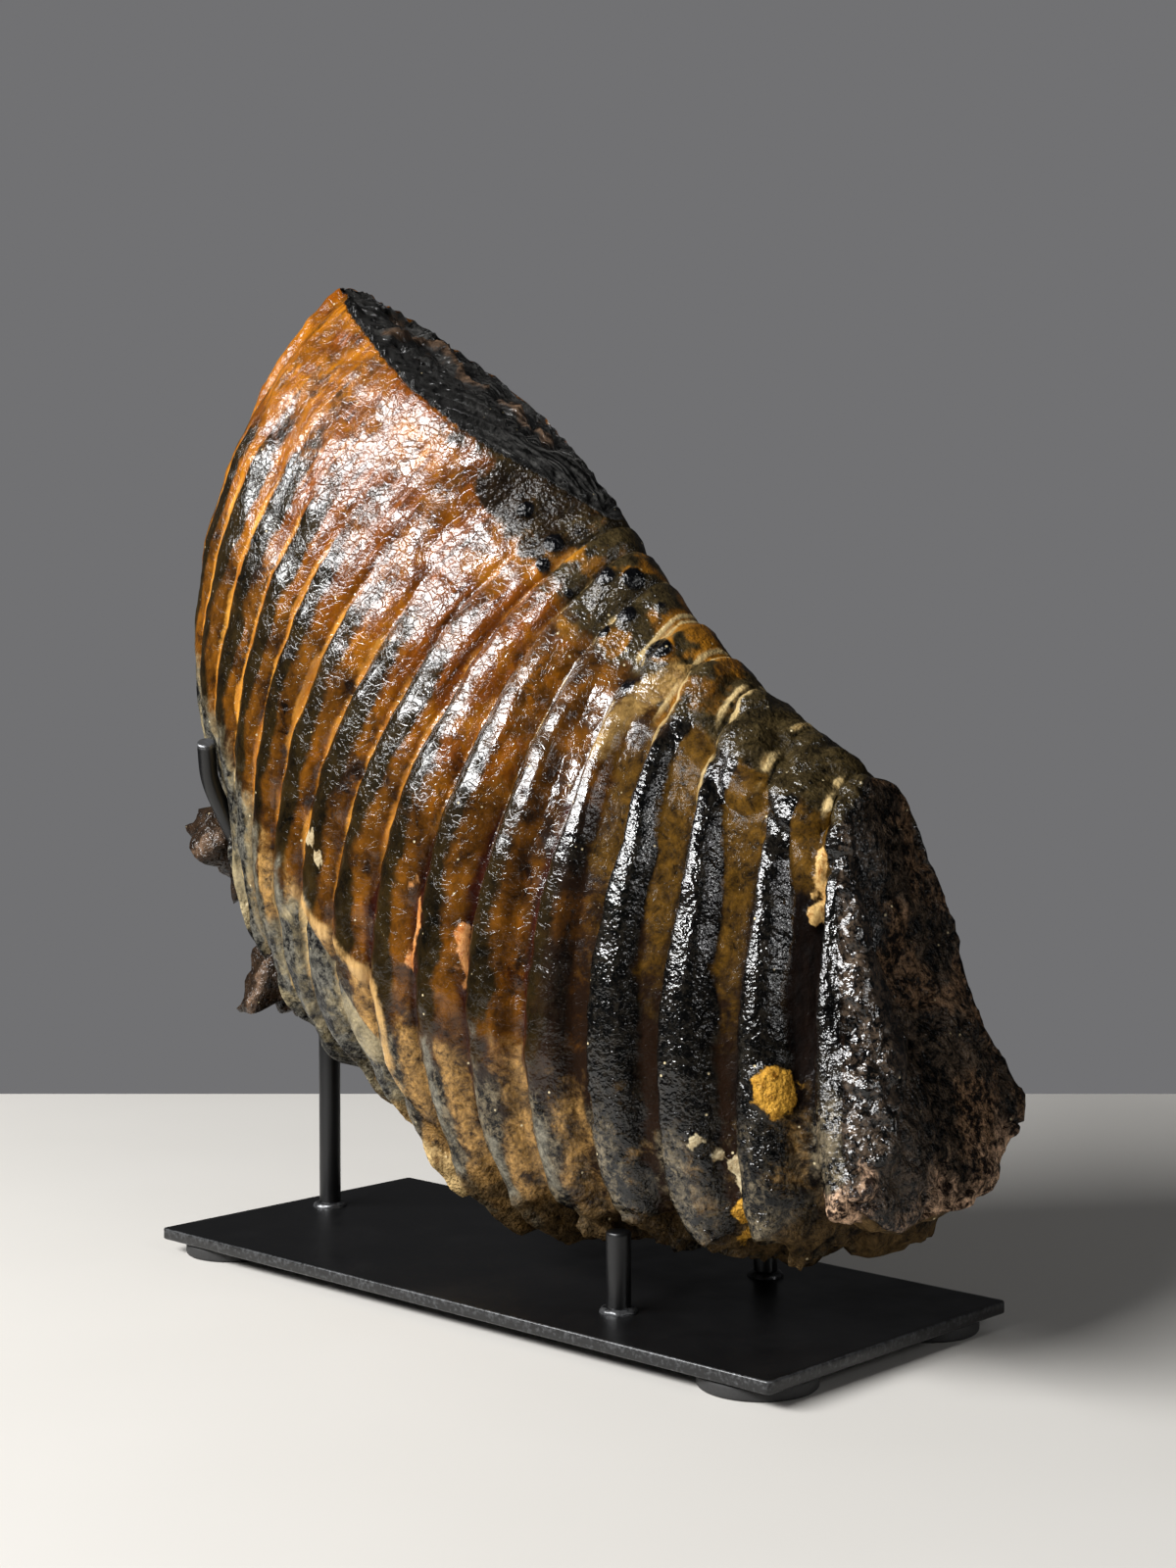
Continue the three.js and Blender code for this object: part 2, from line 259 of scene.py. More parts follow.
@dataclass
class ToothForm:
    """Shape of the tooth as a row of plates, in mm from the middle of the base plate's top.

    Plate 0.8 is the back end, at +X, and 18.6 the front end. A plate's outline is read by an
    angle that is 0 at its crown, turns over the -Y side and is pi at its root.
    """

    plate: tuple = (0.8, 2, 4, 7, 10, 13, 16, 18.6)
    crown_x: tuple = (105, 88, 60, 31, 12, -14, -61, -78)
    crown_z: tuple = (134, 144, 163, 190, 213, 256, 272, 273)
    root_x: tuple = (126, 99, 56, 0, -53, -86, -109, -110)
    root_z: tuple = (37, 19, 16, 16, 42, 70, 113, 156)
    bow: tuple = (2, 0, 5, 18, 23, 23, 19, 10)
    half_crown: tuple = (19, 20, 20, 19, 18, 21, 18, 12)
    half_middle: tuple = (25, 35, 42, 47, 47, 45, 38, 26)
    half_root: tuple = (43, 39, 38, 36, 36, 34, 27, 17)
    shift: tuple = (1, 1, 1, 2, 2, 0, 0, 0)

    # Outline and grid. A row span is its first and last plate and its rows to a plate.
    crown_power: float = 2.5
    root_power: float = 4.5
    columns: int = 250
    near_share: float = 0.62
    outline_samples: int = 4001
    row_spans: tuple = ((0.8, 8.0, 22), (8.0, 13.0, 18), (13.0, 18.6, 12))
    measured_plate: float = 7.0
    back_rows: int = 40
    front_rows: int = 12
    back_inner: int = 60
    front_inner: int = -40
    front_bulge: float = 12.0
    cap_spread: float = 0.6

    # Ribs, and the round bars that stand on them where the columns are free. A pair of rows is
    # plate numbers (depths for the drift) and the values there.
    rib_height: tuple = ((0.8, 3, 5, 8, 11, 14, 18.6), (8, 8, 6.5, 4.2, 3.3, 2.1, 0.8))
    rib_share: tuple = ((0.8, 4, 7, 18.6), (0.6, 0.56, 0.56, 0.56))
    rib_steep: tuple = ((0.8, 5, 7, 18.6), (0.27, 0.3, 0.4, 0.43))
    rib_crest: float = 0.84
    rib_start: float = 0.26
    rib_lean: float = 0.2
    bar_shift: float = 0.05
    bar_slim: float = 0.21
    bar_spread: float = 0.14
    bar_tip: tuple = ((0.8, 1.8, 3.0, 4.1, 6), (0.2, 0.172, 0.13, 0.115, 0.11))
    bar_round: float = 0.04
    bar_flat: float = 2.8
    bar_tilt: float = 0.12
    bar_drift: tuple = ((0.1, 0.2, 0.3, 0.48, 0.7), (0.02, 0.02, -0.01, -0.05, -0.05))

    # Smaller forms: heights in mm, and places as centre, reach and height.
    wobble_height: float = 0.35
    terrace_height: float = 2.6
    terrace_turns: float = 4.5
    toe_lump: float = 1.2
    toe_lobe: float = 1.6
    swellings: tuple = (((122, 38, 58), 12.0, 6.0), ((-103, -36, 124), 15.0, -5.0),
                        ((-49, -33, 51), 14.0, -3.5), ((-32, -30, 36), 16.0, -4.5),
                        ((127, 36, 36), 13.0, -10.0), ((-14, -19, 221), 15.0, 3.0))
    valley: tuple = ((60, 73, 88, 115), (-1.5, -3, -5.4, -10.6))

    worn_height: float = 215.6
    worn_slope: float = -0.7

    def read(self, name: str, plate: Array) -> Array:
        """Value of one plate size at any plate number."""
        return curve(self.plate, getattr(self, name), plate)

    def rows(self) -> Array:
        """Rows of the grid.

        Returns:
            Rising plate numbers, closer together where the ribs are deep.
        """
        parts = [np.linspace(low, high, round((high - low) * count), endpoint=False)
                 for low, high, count in self.row_spans]
        return np.concatenate([*parts, [self.plate[-1]]])

    def angles(self) -> Array:
        """Columns of the grid.

        Returns:
            Rising angles, even in mm along each side and closer together on the near one.
        """
        fine = np.linspace(0.0, 2 * math.pi, self.outline_samples)
        loop = self.outline(np.array([[self.measured_plate]]), fine[None, :])[0][0]
        steps = np.linalg.norm(np.diff(loop, axis=0), axis=1)
        travelled = np.concatenate([[0.0], np.cumsum(steps)])
        half, near = travelled[-1] / 2, round(self.columns * self.near_share)
        even = np.concatenate([np.linspace(0.0, half, near, endpoint=False),
                               np.linspace(half, 2 * half, self.columns - near, endpoint=False)])
        return np.interp(even, travelled, fine)

    def outline(self, plate: Array, angle: Array) -> tuple[Array, Array, Array]:
        """Smooth outline of the plates, without relief.

        Args:
            plate: plate numbers, as a column.
            angle: angles, as a row.

        Returns:
            Points, outward directions and depths (0 at the crown, 1 at the root).
        """
        across, up = np.sin(angle), np.cos(angle)
        power = np.where(up > 0, self.crown_power, self.root_power)
        high, wide = signed_power(up, 2 / power), signed_power(across, 2 / power)
        depth = (1 - high) / 2 + 0 * plate
        half = (self.read("half_crown", plate) * (1 - depth) * (1 - 2 * depth)
                + self.read("half_middle", plate) * 4 * depth * (1 - depth)
                + self.read("half_root", plate) * depth * (2 * depth - 1))
        rise_x = self.read("crown_x", plate) - self.read("root_x", plate)
        rise_z = self.read("crown_z", plate) - self.read("root_z", plate)
        length = np.hypot(rise_x, rise_z)
        up_x, up_z = rise_x / length, rise_z / length
        bow = 4 * depth * (1 - depth) * self.read("bow", plate)
        x = self.read("crown_x", plate) - up_x * depth * length - up_z * bow
        z = self.read("crown_z", plate) - up_z * depth * length + up_x * bow
        y = self.read("shift", plate) - wide * half
        tall = signed_power(high, power - 1) * 2 / length
        broad = -signed_power(wide, power - 1) / half
        normal = np.stack([tall * up_x, broad + 0 * tall, tall * up_z], axis=-1)
        normal /= np.linalg.norm(normal, axis=-1, keepdims=True)
        return np.stack([x, y, z], axis=-1), normal, depth

    def leaning(self, plate: Array, depth: Array) -> Array:
        """Plate number as the ribs count it: they lean forward, the free columns bow back."""
        lean = self.rib_lean * smooth((0.34 - depth) / 0.2) * smooth((plate - 1) / 2)
        return plate - lean + np.interp(depth, *self.bar_drift) * self.right(plate)

    def right(self, plate: Array) -> Array:
        """1 on the free standing columns near the back end, 0 on the closed ribs."""
        return smooth((7.5 - plate) / 3.5)

    def bar_width(self, depth: Array) -> Array:
        """Half width of the free columns' bars, in plates."""
        return self.bar_slim + self.bar_spread * smooth((depth - 0.15) / 0.55)

    def bar_offset(self, past: Array) -> Array:
        """Place across a bar, in plates from its middle, by the place past the rib's crest."""
        return (past + 0.5) % 1.0 - 0.5

    def rib(self, plate: Array, depth: Array) -> Array:
        """Rib profile, 0 in the groove and 1 on the crest.

        Args:
            plate: plate numbers as the ribs count them.
            depth: 0 at the crown, 1 at the root.

        Returns:
            Height as a share of the rib's height. A column is a narrow round bar on a long slope.
        """
        share, steep = np.interp(plate, *self.rib_share), np.interp(plate, *self.rib_steep)
        gap = plate - np.floor(plate) - self.rib_crest
        gap = np.where(gap < steep - 1, gap + 1, gap)
        reach = np.where(gap > 0, steep, np.minimum(share, 1 - steep))
        near = np.clip(1 - np.abs(gap) / reach, 0, 1)
        closed = np.sqrt(1 - (1 - near) ** 2)
        offset, width = self.bar_offset(gap + self.bar_shift), self.bar_width(depth)
        past = np.clip(1 - (depth - np.interp(plate, *self.bar_tip)) / self.bar_round, 0, None)
        bar = np.sqrt(np.clip(1 - np.abs(offset / width) ** self.bar_flat - past**2, 0, 1))
        bar = bar * (1 + self.bar_tilt * np.clip(offset / width, -1, 1))
        slope = np.clip(np.where(gap > 0, 1 - gap / steep, 1 + gap / (1 - steep)), 0, 1)
        free = self.right(plate)
        return np.maximum(closed + (bar - closed) * free, (0.5 + 0.12 * free) * slope)

    def ribs(self, plate: Array, ribbed: Array, depth: Array) -> Array:
        """Height of the ribs over the smooth outline, as a share of the rib's height.

        Args:
            plate: plate numbers.
            ribbed: plate numbers as the ribs count them.
            depth: 0 at the crown, 1 at the root.

        Returns:
            Less relief on the crown and on the worn plates; free columns keep their round tips.
        """
        rib, free = self.rib(ribbed, depth), self.right(plate)
        worn = smooth((plate - 8) / 3)
        tip = 0.4 + 0.6 * smooth((depth - 0.1) / 0.08)
        start = 0.12 + 0.18 * smooth((plate - 11) / 2)
        closed = (rib - 0.75) * ((1 - worn) * tip + worn * smooth((depth - start) / 0.34))
        deep = 0.13 + 0.87 * smooth((depth - np.interp(plate, *self.bar_tip) + 0.02) / 0.14)
        column = (0.25 + 0.75 * deep) * rib - 0.75 * deep
        return free * column + (1 - free) * closed

    def relief(self, plate: Array, angle: Array, depth: Array) -> Array:
        """Height of ribs, crown terraces and bottom lobes above the smooth outline.

        Args:
            plate: plate numbers.
            angle: angles round the plates.
            depth: 0 at the crown, 1 at the root.

        Returns:
            Height in mm.
        """
        ribbed = self.leaning(plate, depth)
        rib = self.rib(ribbed, depth)
        number = np.floor(ribbed - self.rib_start)
        ribs = np.interp(plate, *self.rib_height) * self.ribs(plate, ribbed, depth)
        wobble = self.wobble_height * np.sin(6.5 * depth + 2.1 * number) * (rib - 0.3)
        in_crown = smooth((0.14 - depth) / 0.05) * smooth((9.5 - plate) / 2)
        around = np.sqrt(np.abs(np.cos(self.terrace_turns * angle + 1.9 * number)))
        near = bell(angle, 0.55, 0.45)
        digits = self.terrace_height * in_crown * (around * rib - 0.55) * (0.2 + 0.8 * near)
        toe = smooth((depth - 0.86) / 0.08)
        lumps = np.sin(7.3 * plate + 3 * angle) + 0.7 * np.sin(4.1 * plate - 9 * angle)
        lobes = np.cos(2 * math.pi * (ribbed - 0.8))
        return ribs + wobble + digits + toe * (self.toe_lump * lumps + self.toe_lobe * lobes)

    def end_relief(self, point: Array) -> Array:
        """Relief of the broken back end: a round column, a valley and a lobe.

        Args:
            point: places of the flat end in mm.

        Returns:
            How far each place stands out, in mm.
        """
        y, z = point[..., 1], point[..., 2]
        high = smooth((z - 35) / 35)
        column = 8 * bell(y, -26, 13) * (0.35 + 0.65 * high)
        groove = 3.5 * bell(y, np.interp(z, *self.valley), 5.0) * smooth((z - 48) / 25)
        lobe = 2.5 * bell(y, 21, 9) * smooth((95 - z) / 30)
        ripple = 0.9 * np.sin(y / 2.6 + 0.03 * z) * smooth((60 - z) / 30)
        corner = 5 * bell(y, 31, 13) * bell(z, 35, 11)
        return 4 - 3 * smooth((z - 70) / 30) + column - groove + lobe + ripple - corner

    def caps(self, body: Surface, row: int, inner: int, count: int) -> list[Surface]:
        """Rows that close one end: the end loop drawn in to its middle while it bulges out.

        Args:
            body: the grid without its ends.
            row: number of the end's row in it, 0 for the back end.
            inner: number of a row further in, which tells the outward direction.
            count: how many rows are made.

        Returns:
            The rows, from the end loop inwards.
        """
        loop = body.point[row]
        middle = loop.mean(axis=0)
        outward = middle - body.point[inner].mean(axis=0)
        outward /= np.linalg.norm(outward)
        rows = []
        for step in range(1, count + 1):
            turn = step / (count + 1) * math.pi / 2
            point = middle + (loop - middle) * math.cos(turn) ** self.cap_spread
            out = (self.end_relief(point) if row == 0 else self.front_bulge) * math.sin(turn) ** 0.8
            rows.append(Surface(point + outward * np.reshape(out, (-1, 1)), body.plate[row],
                                body.angle[row], body.depth[row],
                                np.full(len(loop), step / count)))
        return rows

    def surface(self) -> Surface:
        """Builds the whole closed grid.

        Returns:
            The grid, from the middle of the back end to that of the front end.
        """
        plate, angle = self.rows()[:, None], self.angles()[None, :]
        point, normal, depth = self.outline(plate, angle)
        swell = sum(height * np.exp(-np.sum((point - np.array(at)) ** 2, axis=-1) / reach**2)
                    for at, reach, height in self.swellings)
        point = point + normal * (self.relief(plate, angle, depth) + swell)[..., None]
        flat = 0 * depth
        body = Surface(point, plate + flat, angle + flat, depth, flat)
        back = self.caps(body, 0, self.back_inner, self.back_rows)[::-1]
        front = self.caps(body, -1, self.front_inner, self.front_rows)
        return Surface(*[np.concatenate([np.stack([getattr(cap, name) for cap in back]),
                                         getattr(body, name),
                                         np.stack([getattr(cap, name) for cap in front])])
                         for name in ("point", "plate", "angle", "depth", "end")])


# ------------------------------------------------------------------ meshes
def grid_object(name: str, point: Array, masks: dict[str, Array] | None = None,
                crease: float | None = None) -> bpy.types.Object:
    """Object from a grid that closes round its columns and is capped at both ends.

    Args:
        name: name of the object.
        point: rows by columns of places in mm from the middle of the base plate's top.
        masks: numbers for each point, by name, that the finishes read.
        crease: angle in degrees above which an edge stays sharp, or None for all smooth.

    Returns:
        The object, in metres in the frame.
    """
    rows, columns = point.shape[:2]
    ends = np.stack([point[0].mean(axis=0), point[-1].mean(axis=0)])
    vertices = np.concatenate([point.reshape(-1, 3), ends])
    row, column = np.meshgrid(np.arange(rows - 1), np.arange(columns), indexing="ij")
    here, beside = row * columns + column, row * columns + (column + 1) % columns
    quads = np.stack([here, beside, beside + columns, here + columns], axis=-1).reshape(-1, 4)
    first, ring = rows * columns, np.arange(columns)
    after, last = (ring + 1) % columns, (rows - 1) * columns
    fans = np.concatenate([
        np.stack([np.full(columns, first), after, ring], axis=-1),
        np.stack([np.full(columns, first + 1), last + ring, last + after], axis=-1)])
    corner = vertices[quads]
    volume = np.sum(corner[:, 0] * np.cross(corner[:, 1], corner[:, 2])
                    + corner[:, 0] * np.cross(corner[:, 2], corner[:, 3]))
    if volume < 0:
        quads, fans = quads[:, ::-1], fans[:, ::-1]
    mesh = bpy.data.meshes.new(name)
    mesh.from_pydata((vertices * MM + ORIGIN).tolist(), [], quads.tolist() + fans.tolist())
    for mask, values in (masks or {}).items():
        full = np.concatenate([values.reshape(-1), [values[0].mean(), values[-1].mean()]])
        mesh.attributes.new(mask, "FLOAT", "POINT").data.foreach_set("value", full)
    mesh.polygons.foreach_set("use_smooth", [True] * len(mesh.polygons))
    if crease is not None:
        mesh.set_sharp_from_angle(angle=math.radians(crease))
    obj = bpy.data.objects.new(name, mesh)
    bpy.context.scene.collection.objects.link(obj)
    return obj


def ring_angles(sides: int) -> Array:
    """Even angles round a ring."""
    return np.arange(sides) * 2 * math.pi / sides


def lathe(profile: Array, centre: tuple, sides: int) -> Array:
    """Rings of a turned shape.

    Args:
        profile: rows of radius and height in mm, from one end to the other.
        centre: x, y and z of the axis' lower end in mm.
        sides: number of points in each ring.

    Returns:
        Rings by sides of places.
    """
    turn = ring_angles(sides)
    radius, height = np.asarray(profile, float).T
    x = centre[0] + radius[:, None] * np.cos(turn)
    y = centre[1] + radius[:, None] * np.sin(turn)
    return np.stack([x, y, centre[2] + height[:, None] + 0 * x], axis=-1)


def eased(ease: float, low: float, high: float, steps: int) -> list[tuple[float, float]]:
    """Side of a disc or plate whose lower and upper edges are rounded.

    Args:
        ease: radius of the rounded edges in mm.
        low: height of the underside in mm.
        high: height of the top in mm.
        steps: number of flats in each rounded edge.

    Returns:
        Inset and height of each level in mm, from the underside to the top.
    """
    turns = np.linspace(0, math.pi / 2, steps + 1)
    bottom = [(ease * (1 - math.sin(a)), low + ease * (1 - math.cos(a))) for a in turns]
    top = [(ease * (1 - math.cos(a)), high - ease * (1 - math.sin(a))) for a in turns]
    return [*bottom, *top]


# ------------------------------------------------------------------ nodes and finishes
def linear(colour: str) -> tuple[float, float, float, float]:
    """Linear colour with full alpha from an sRGB hex value such as #8a4312."""
    parts = [int(colour[i:i + 2], 16) / 255 for i in (1, 3, 5)]
    return (*[c / 12.92 if c <= 0.04045 else ((c + 0.055) / 1.055) ** 2.4 for c in parts], 1.0)


def add_node(tree: Tree, kind: str, settings: dict | None = None,
             links: dict | None = None) -> bpy.types.Node:
    """Adds a node with its settings and links.

    Args:
        tree: the node tree it goes in.
        kind: Blender's name of the node, without ShaderNode.
        settings: values of its properties or, where it has no such property, of its inputs.
        links: outputs of other nodes by the name or number of this node's input.

    Returns:
        The node.
    """
    node = tree.nodes.new("ShaderNode" + kind)
    for key, value in (settings or {}).items():
        if isinstance(key, str) and hasattr(node, key):
            setattr(node, key, value)
        else:
            node.inputs[key].default_value = value
    for key, output in (links or {}).items():
        tree.links.new(output, node.inputs[key])
    return node


def blank_material(name: str) -> tuple[bpy.types.Material, Tree]:
    """New material with an empty node tree.

    Args:
        name: the material's name.

    Returns:
        The material and its node tree.
    """
    material = bpy.data.materials.new(name)
    material.use_nodes = True
    material.node_tree.nodes.clear()
    return material, material.node_tree


class Grain(Enum):
    """The patterns that a layer's two colours can be mixed by."""

    MOTTLE = "mottle"
    SPECK = "speck"
    STREAK = "streak"
    GRAVEL = "gravel"


@dataclass(frozen=True)
class Layer:
    """One colouring of the fossil, laid over the ones before it where its mask says."""

    mask: str
    dark: str
    light: str
    grain: Grain
    roughness: float
    ragged: float = 0.25
    edge: float = 0.2


@dataclass(frozen=True)
class VarnishedFossil:
    """Fossil ivory, enamel and cement under brushed clear varnish.

    The varnish gives broad wet highlights that fine wrinkles break up; the minerals give amber,
    olive and black below it.
    """

    ior: float = 1.5
    varnish_ior: float = 1.5
    # The varnish fills the pores, so that the fossil below it has next to no shine of its own.
    pore_shine: float = 0.04
    base: str = "#20130a"
    base_roughness: float = 0.34
    varnish_roughness: float = 0.08
    bare_share: float = 0.97

    # Mineral clouds and stone grains at their real widths. Each has its detail, the half range
    # of the noise that it stretches to full contrast, and the strength of its finer layers.
    mottle: tuple = (9.0, 5, 0.18, 0.7)
    speck: tuple = (3.2, 6, 0.15, 0.8)
    gravel: tuple = (2.2, 5, 0.12, 0.8)
    ragged: tuple = (6.0, 6, 0.18, 0.7)
    streak_range: tuple = (0.32, 0.68)
    gravel_clouding: float = 0.4
    gravel_range: tuple = (0.36, 0.86)

    # Real varnish wrinkles and cracks lie about 1 mm apart and real grit is about 0.5 mm wide.
    # All three are drawn two to three times as coarse, so that they show.
    wrinkle_mm: float = 2.8
    wrinkle_width: float = 0.034
    crackle_mm: float = 2.8
    crackle_width: float = 0.06
    crackle_share: float = 0.8
    wrinkle_depth_mm: float = 0.065
    wrinkle_least: float = 0.35
    wrinkle_most: float = 0.55
    amber_wrinkles: float = 1.1
    grit_mm: float = 1.2

    # Heights as multiples of the wrinkles' depth.
    grit_height: float = 5.9
    rock_height: float = 21.0
    comb_height: float = 2.6

    # Pale specks: grit caught in the varnish, and painted glints.
    dust_and_glint: str = "#d2c19a"
    dust_and_glint_mm: float = 4.6
    dust_and_glint_rarity: float = 0.55
    dust_and_glint_size: tuple = (0.085, 0.05)

    layers: tuple = (
        Layer("rust", "#0e0602", "#7a4a10", Grain.MOTTLE, 0.3, 0.7, 0.35),
        Layer("amber", "#4e2404", "#a2600a", Grain.MOTTLE, 0.3, 0.7, 0.3),
        Layer("honey", "#7c4108", "#bd7614", Grain.STREAK, 0.3, 0.8, 0.4),
        Layer("russet", "#381a03", "#8e4a0a", Grain.STREAK, 0.3, 0.8, 0.4),
        Layer("olive", "#050402", "#2e220c", Grain.MOTTLE, 0.3, 0.7, 0.4),
        Layer("groove", "#945212", "#dd9d40", Grain.STREAK, 0.4, 0.6, 0.3),
        # Dark red for the ribs' trenches: partly the stone's red, partly painted shade.
        Layer("red_tint_and_shade", "#120403", "#3c160a", Grain.STREAK, 0.35, 0.5, 0.3),
        Layer("black", "#010101", "#231f19", Grain.GRAVEL, 0.3, 0.5, 0.3),
        Layer("moss", "#0c0702", "#6a4a14", Grain.SPECK, 0.6, 0.7, 0.35),
        # Painted shade: near black for the trenches and deep valleys of the free columns.
        Layer("painted_shade", "#020101", "#150b06", Grain.STREAK, 0.6, 0.3, 0.3),
        Layer("char", "#010101", "#776b55", Grain.GRAVEL, 0.42, 0.8, 0.4),
        Layer("grey", "#0a0a0b", "#8a8473", Grain.SPECK, 0.45, 0.8, 0.4),
        Layer("tan", "#241405", "#c39656", Grain.SPECK, 0.45, 0.8, 0.4),
        Layer("beige", "#3a3426", "#b3a37e", Grain.MOTTLE, 0.42, 0.6, 0.35),
        Layer("murk", "#0a0a0c", "#6c695f", Grain.GRAVEL, 0.42, 0.8, 0.35),
        Layer("seam", "#97794a", "#dcc08a", Grain.STREAK, 0.45, 0.6, 0.3),
        Layer("crown", "#050402", "#473b23", Grain.SPECK, 0.4, 0.7, 0.4),
        Layer("dusk", "#060302", "#2a1e10", Grain.SPECK, 0.36, 0.8, 0.4),
        Layer("ochre", "#472a08", "#a86f1d", Grain.MOTTLE, 0.4, 0.8, 0.45),
        Layer("rim", "#7d6236", "#d6bd88", Grain.STREAK, 0.42, 0.8, 0.4),
        Layer("cream", "#5c421e", "#a9874e", Grain.SPECK, 0.45, 0.9, 0.5),
        Layer("fold", "#8f6c3c", "#d6ae72", Grain.STREAK, 0.45, 0.5, 0.3),
        Layer("crust", "#0e0905", "#6e5737", Grain.SPECK, 0.6, 0.9, 0.4),
        Layer("toe", "#6b5030", "#e4c488", Grain.MOTTLE, 0.55, 0.6, 0.3),
        Layer("end", "#010101", "#5c4d3f", Grain.GRAVEL, 0.4, 0.5, 0.3),
        Layer("clay", "#0c0705", "#9a785a", Grain.GRAVEL, 0.6, 0.9, 0.4),
        Layer("stone", "#241710", "#e8c09e", Grain.GRAVEL, 0.6, 0.9, 0.4),
        Layer("tip", "#020203", "#0d0d0f", Grain.SPECK, 0.15, 0.15),
        Layer("worn", "#0a0a0a", "#4b4a48", Grain.SPECK, 0.28, 0.05, 0.08),
        Layer("root", "#050302", "#3a2a1c", Grain.SPECK, 0.6, 0.2),
        # Painted shade: near black in the worn face's pits and in the roots' hollow ends.
        Layer("pit", "#020202", "#120c09", Grain.MOTTLE, 0.3, 0.3),
        # Paler brown on the worn face's raised lip and ridges and on the roots' flutes: partly
        # their own tone, partly painted light on the high ground.
        Layer("lip", "#20160e", "#7f6652", Grain.SPECK, 0.3, 0.6, 0.3),
        Layer("patch", "#6d430a", "#e2ab44", Grain.SPECK, 0.55, 0.8, 0.15),
        Layer("deposit", "#6d532c", "#d8c9a4", Grain.SPECK, 0.5, 0.9, 0.15),
        Layer("flake", "#8c5410", "#efcb86", Grain.SPECK, 0.5, 0.6, 0.15),
        Layer("crumb", "#a3541a", "#e2a868", Grain.SPECK, 0.5, 0.6, 0.2),
        Layer("dot", "#c9b987", "#e8dcb2", Grain.SPECK, 0.5, 0.1, 0.1),
    )

    def material(self) -> bpy.types.Material:
        """Builds the finish.

        Returns:
            The material, which reads the masks of the mesh that it is put on.
        """
        # Varnished fossil ivory: clear and wet over clouded mineral colours.
        material, tree = blank_material("varnished_fossil_ivory")
        place = add_node(tree, "TexCoord").outputs["Object"]
        grains = {
            Grain.MOTTLE: self.noise(tree, place, *self.mottle),
            Grain.SPECK: self.noise(tree, place, *self.speck),
            Grain.STREAK: self.streaks(tree),
        }
        fine = self.noise(tree, place, *self.gravel)
        uneven = add_node(tree, "Mix", {"data_type": "FLOAT", 0: self.gravel_clouding},
                          {2: fine, 3: grains[Grain.MOTTLE]}).outputs[0]
        low, high = self.gravel_range
        grains[Grain.GRAVEL] = add_node(tree, "MapRange", {"From Min": low, "From Max": high},
                                        {"Value": uneven}).outputs[0]
        ragged = self.noise(tree, place, *self.ragged)
        colour = add_node(tree, "RGB").outputs[0]
        colour.default_value = linear(self.base)
        rough = add_node(tree, "Value").outputs[0]
        rough.default_value = self.base_roughness
        for layer in self.layers:
            shown = self.shown(tree, layer, ragged)
            tone = add_node(tree, "Mix", {"data_type": "RGBA", "blend_type": "MIX",
                                          6: linear(layer.dark), 7: linear(layer.light)},
                            {0: grains[layer.grain]}).outputs[2]
            colour = add_node(tree, "Mix", {"data_type": "RGBA"},
                              {0: shown, 6: colour, 7: tone}).outputs[2]
            rough = add_node(tree, "Mix", {"data_type": "FLOAT", 3: layer.roughness},
                             {0: shown, 2: rough}).outputs[0]
        # Pale specks over everything: grit in the varnish, and painted glints.
        colour = add_node(tree, "Mix", {"data_type": "RGBA", 7: linear(self.dust_and_glint)},
                          {0: self.specks(tree, place), 6: colour}).outputs[2]
        bare = add_node(tree, "Attribute", {"attribute_name": "bare"}).outputs["Fac"]
        bump = self.bump(tree, place, grains[Grain.MOTTLE])
        varnish = add_node(tree, "Math", {"operation": "MULTIPLY_ADD", 1: -self.bare_share, 2: 1.0},
                           {0: bare}).outputs[0]
        shader = add_node(
            tree, "BsdfPrincipled",
            {"IOR": self.ior, "Specular IOR Level": self.pore_shine,
             "Coat Roughness": self.varnish_roughness, "Coat IOR": self.varnish_ior},
            {"Base Color": colour, "Roughness": rough, "Coat Weight": varnish, "Normal": bump,
             "Coat Normal": bump})
        add_node(tree, "OutputMaterial", {}, {"Surface": shader.outputs[0]})
        return material

    def specks(self, tree: Tree, place: Socket) -> Socket:
        """Few small pale specks: grains caught in the varnish, and painted glints.

        Args:
            tree: the node tree.
            place: output that gives the place on the object.

        Returns:
            Output that is 1 on the grains.
        """
        grain = add_node(tree, "TexVoronoi", {"Scale": 1 / (self.dust_and_glint_mm * MM)}, {"Vector": place})
        chance = add_node(tree, "SeparateColor", {}, {0: grain.outputs["Color"]}).outputs[0]
        kept = add_node(tree, "Math", {"operation": "GREATER_THAN", 1: self.dust_and_glint_rarity},
                        {0: chance}).outputs[0]
        outer, inner = self.dust_and_glint_size
        dot = add_node(tree, "MapRange", {"From Min": outer, "From Max": inner},
                       {"Value": grain.outputs["Distance"]}).outputs[0]
        return add_node(tree, "Math", {"operation": "MULTIPLY"}, {0: kept, 1: dot}).outputs[0]

    def noise(self, tree: Tree, place: Socket, size: float, detail: int, half_range: float,
              fineness: float) -> Socket:
        """Contrasty random pattern.

        Args:
            tree: the node tree.
            place: output that gives the place on the object.
            size: width of the features in mm.
            detail: number of finer layers.
            half_range: how far from the noise's middle full contrast is reached.
            fineness: strength of each finer layer beside the one before.

        Returns:
            Output of the pattern, from 0 to 1.
        """
        pattern = add_node(tree, "TexNoise", {"Scale": 1 / (size * MM), "Detail": detail,
                                              "Roughness": fineness, "Distortion": 0.4},
                           {"Vector": place}).outputs["Fac"]
        return add_node(tree, "MapRange", {"From Min": 0.5 - half_range,
                                           "From Max": 0.5 + half_range},
                        {"Value": pattern}).outputs[0]

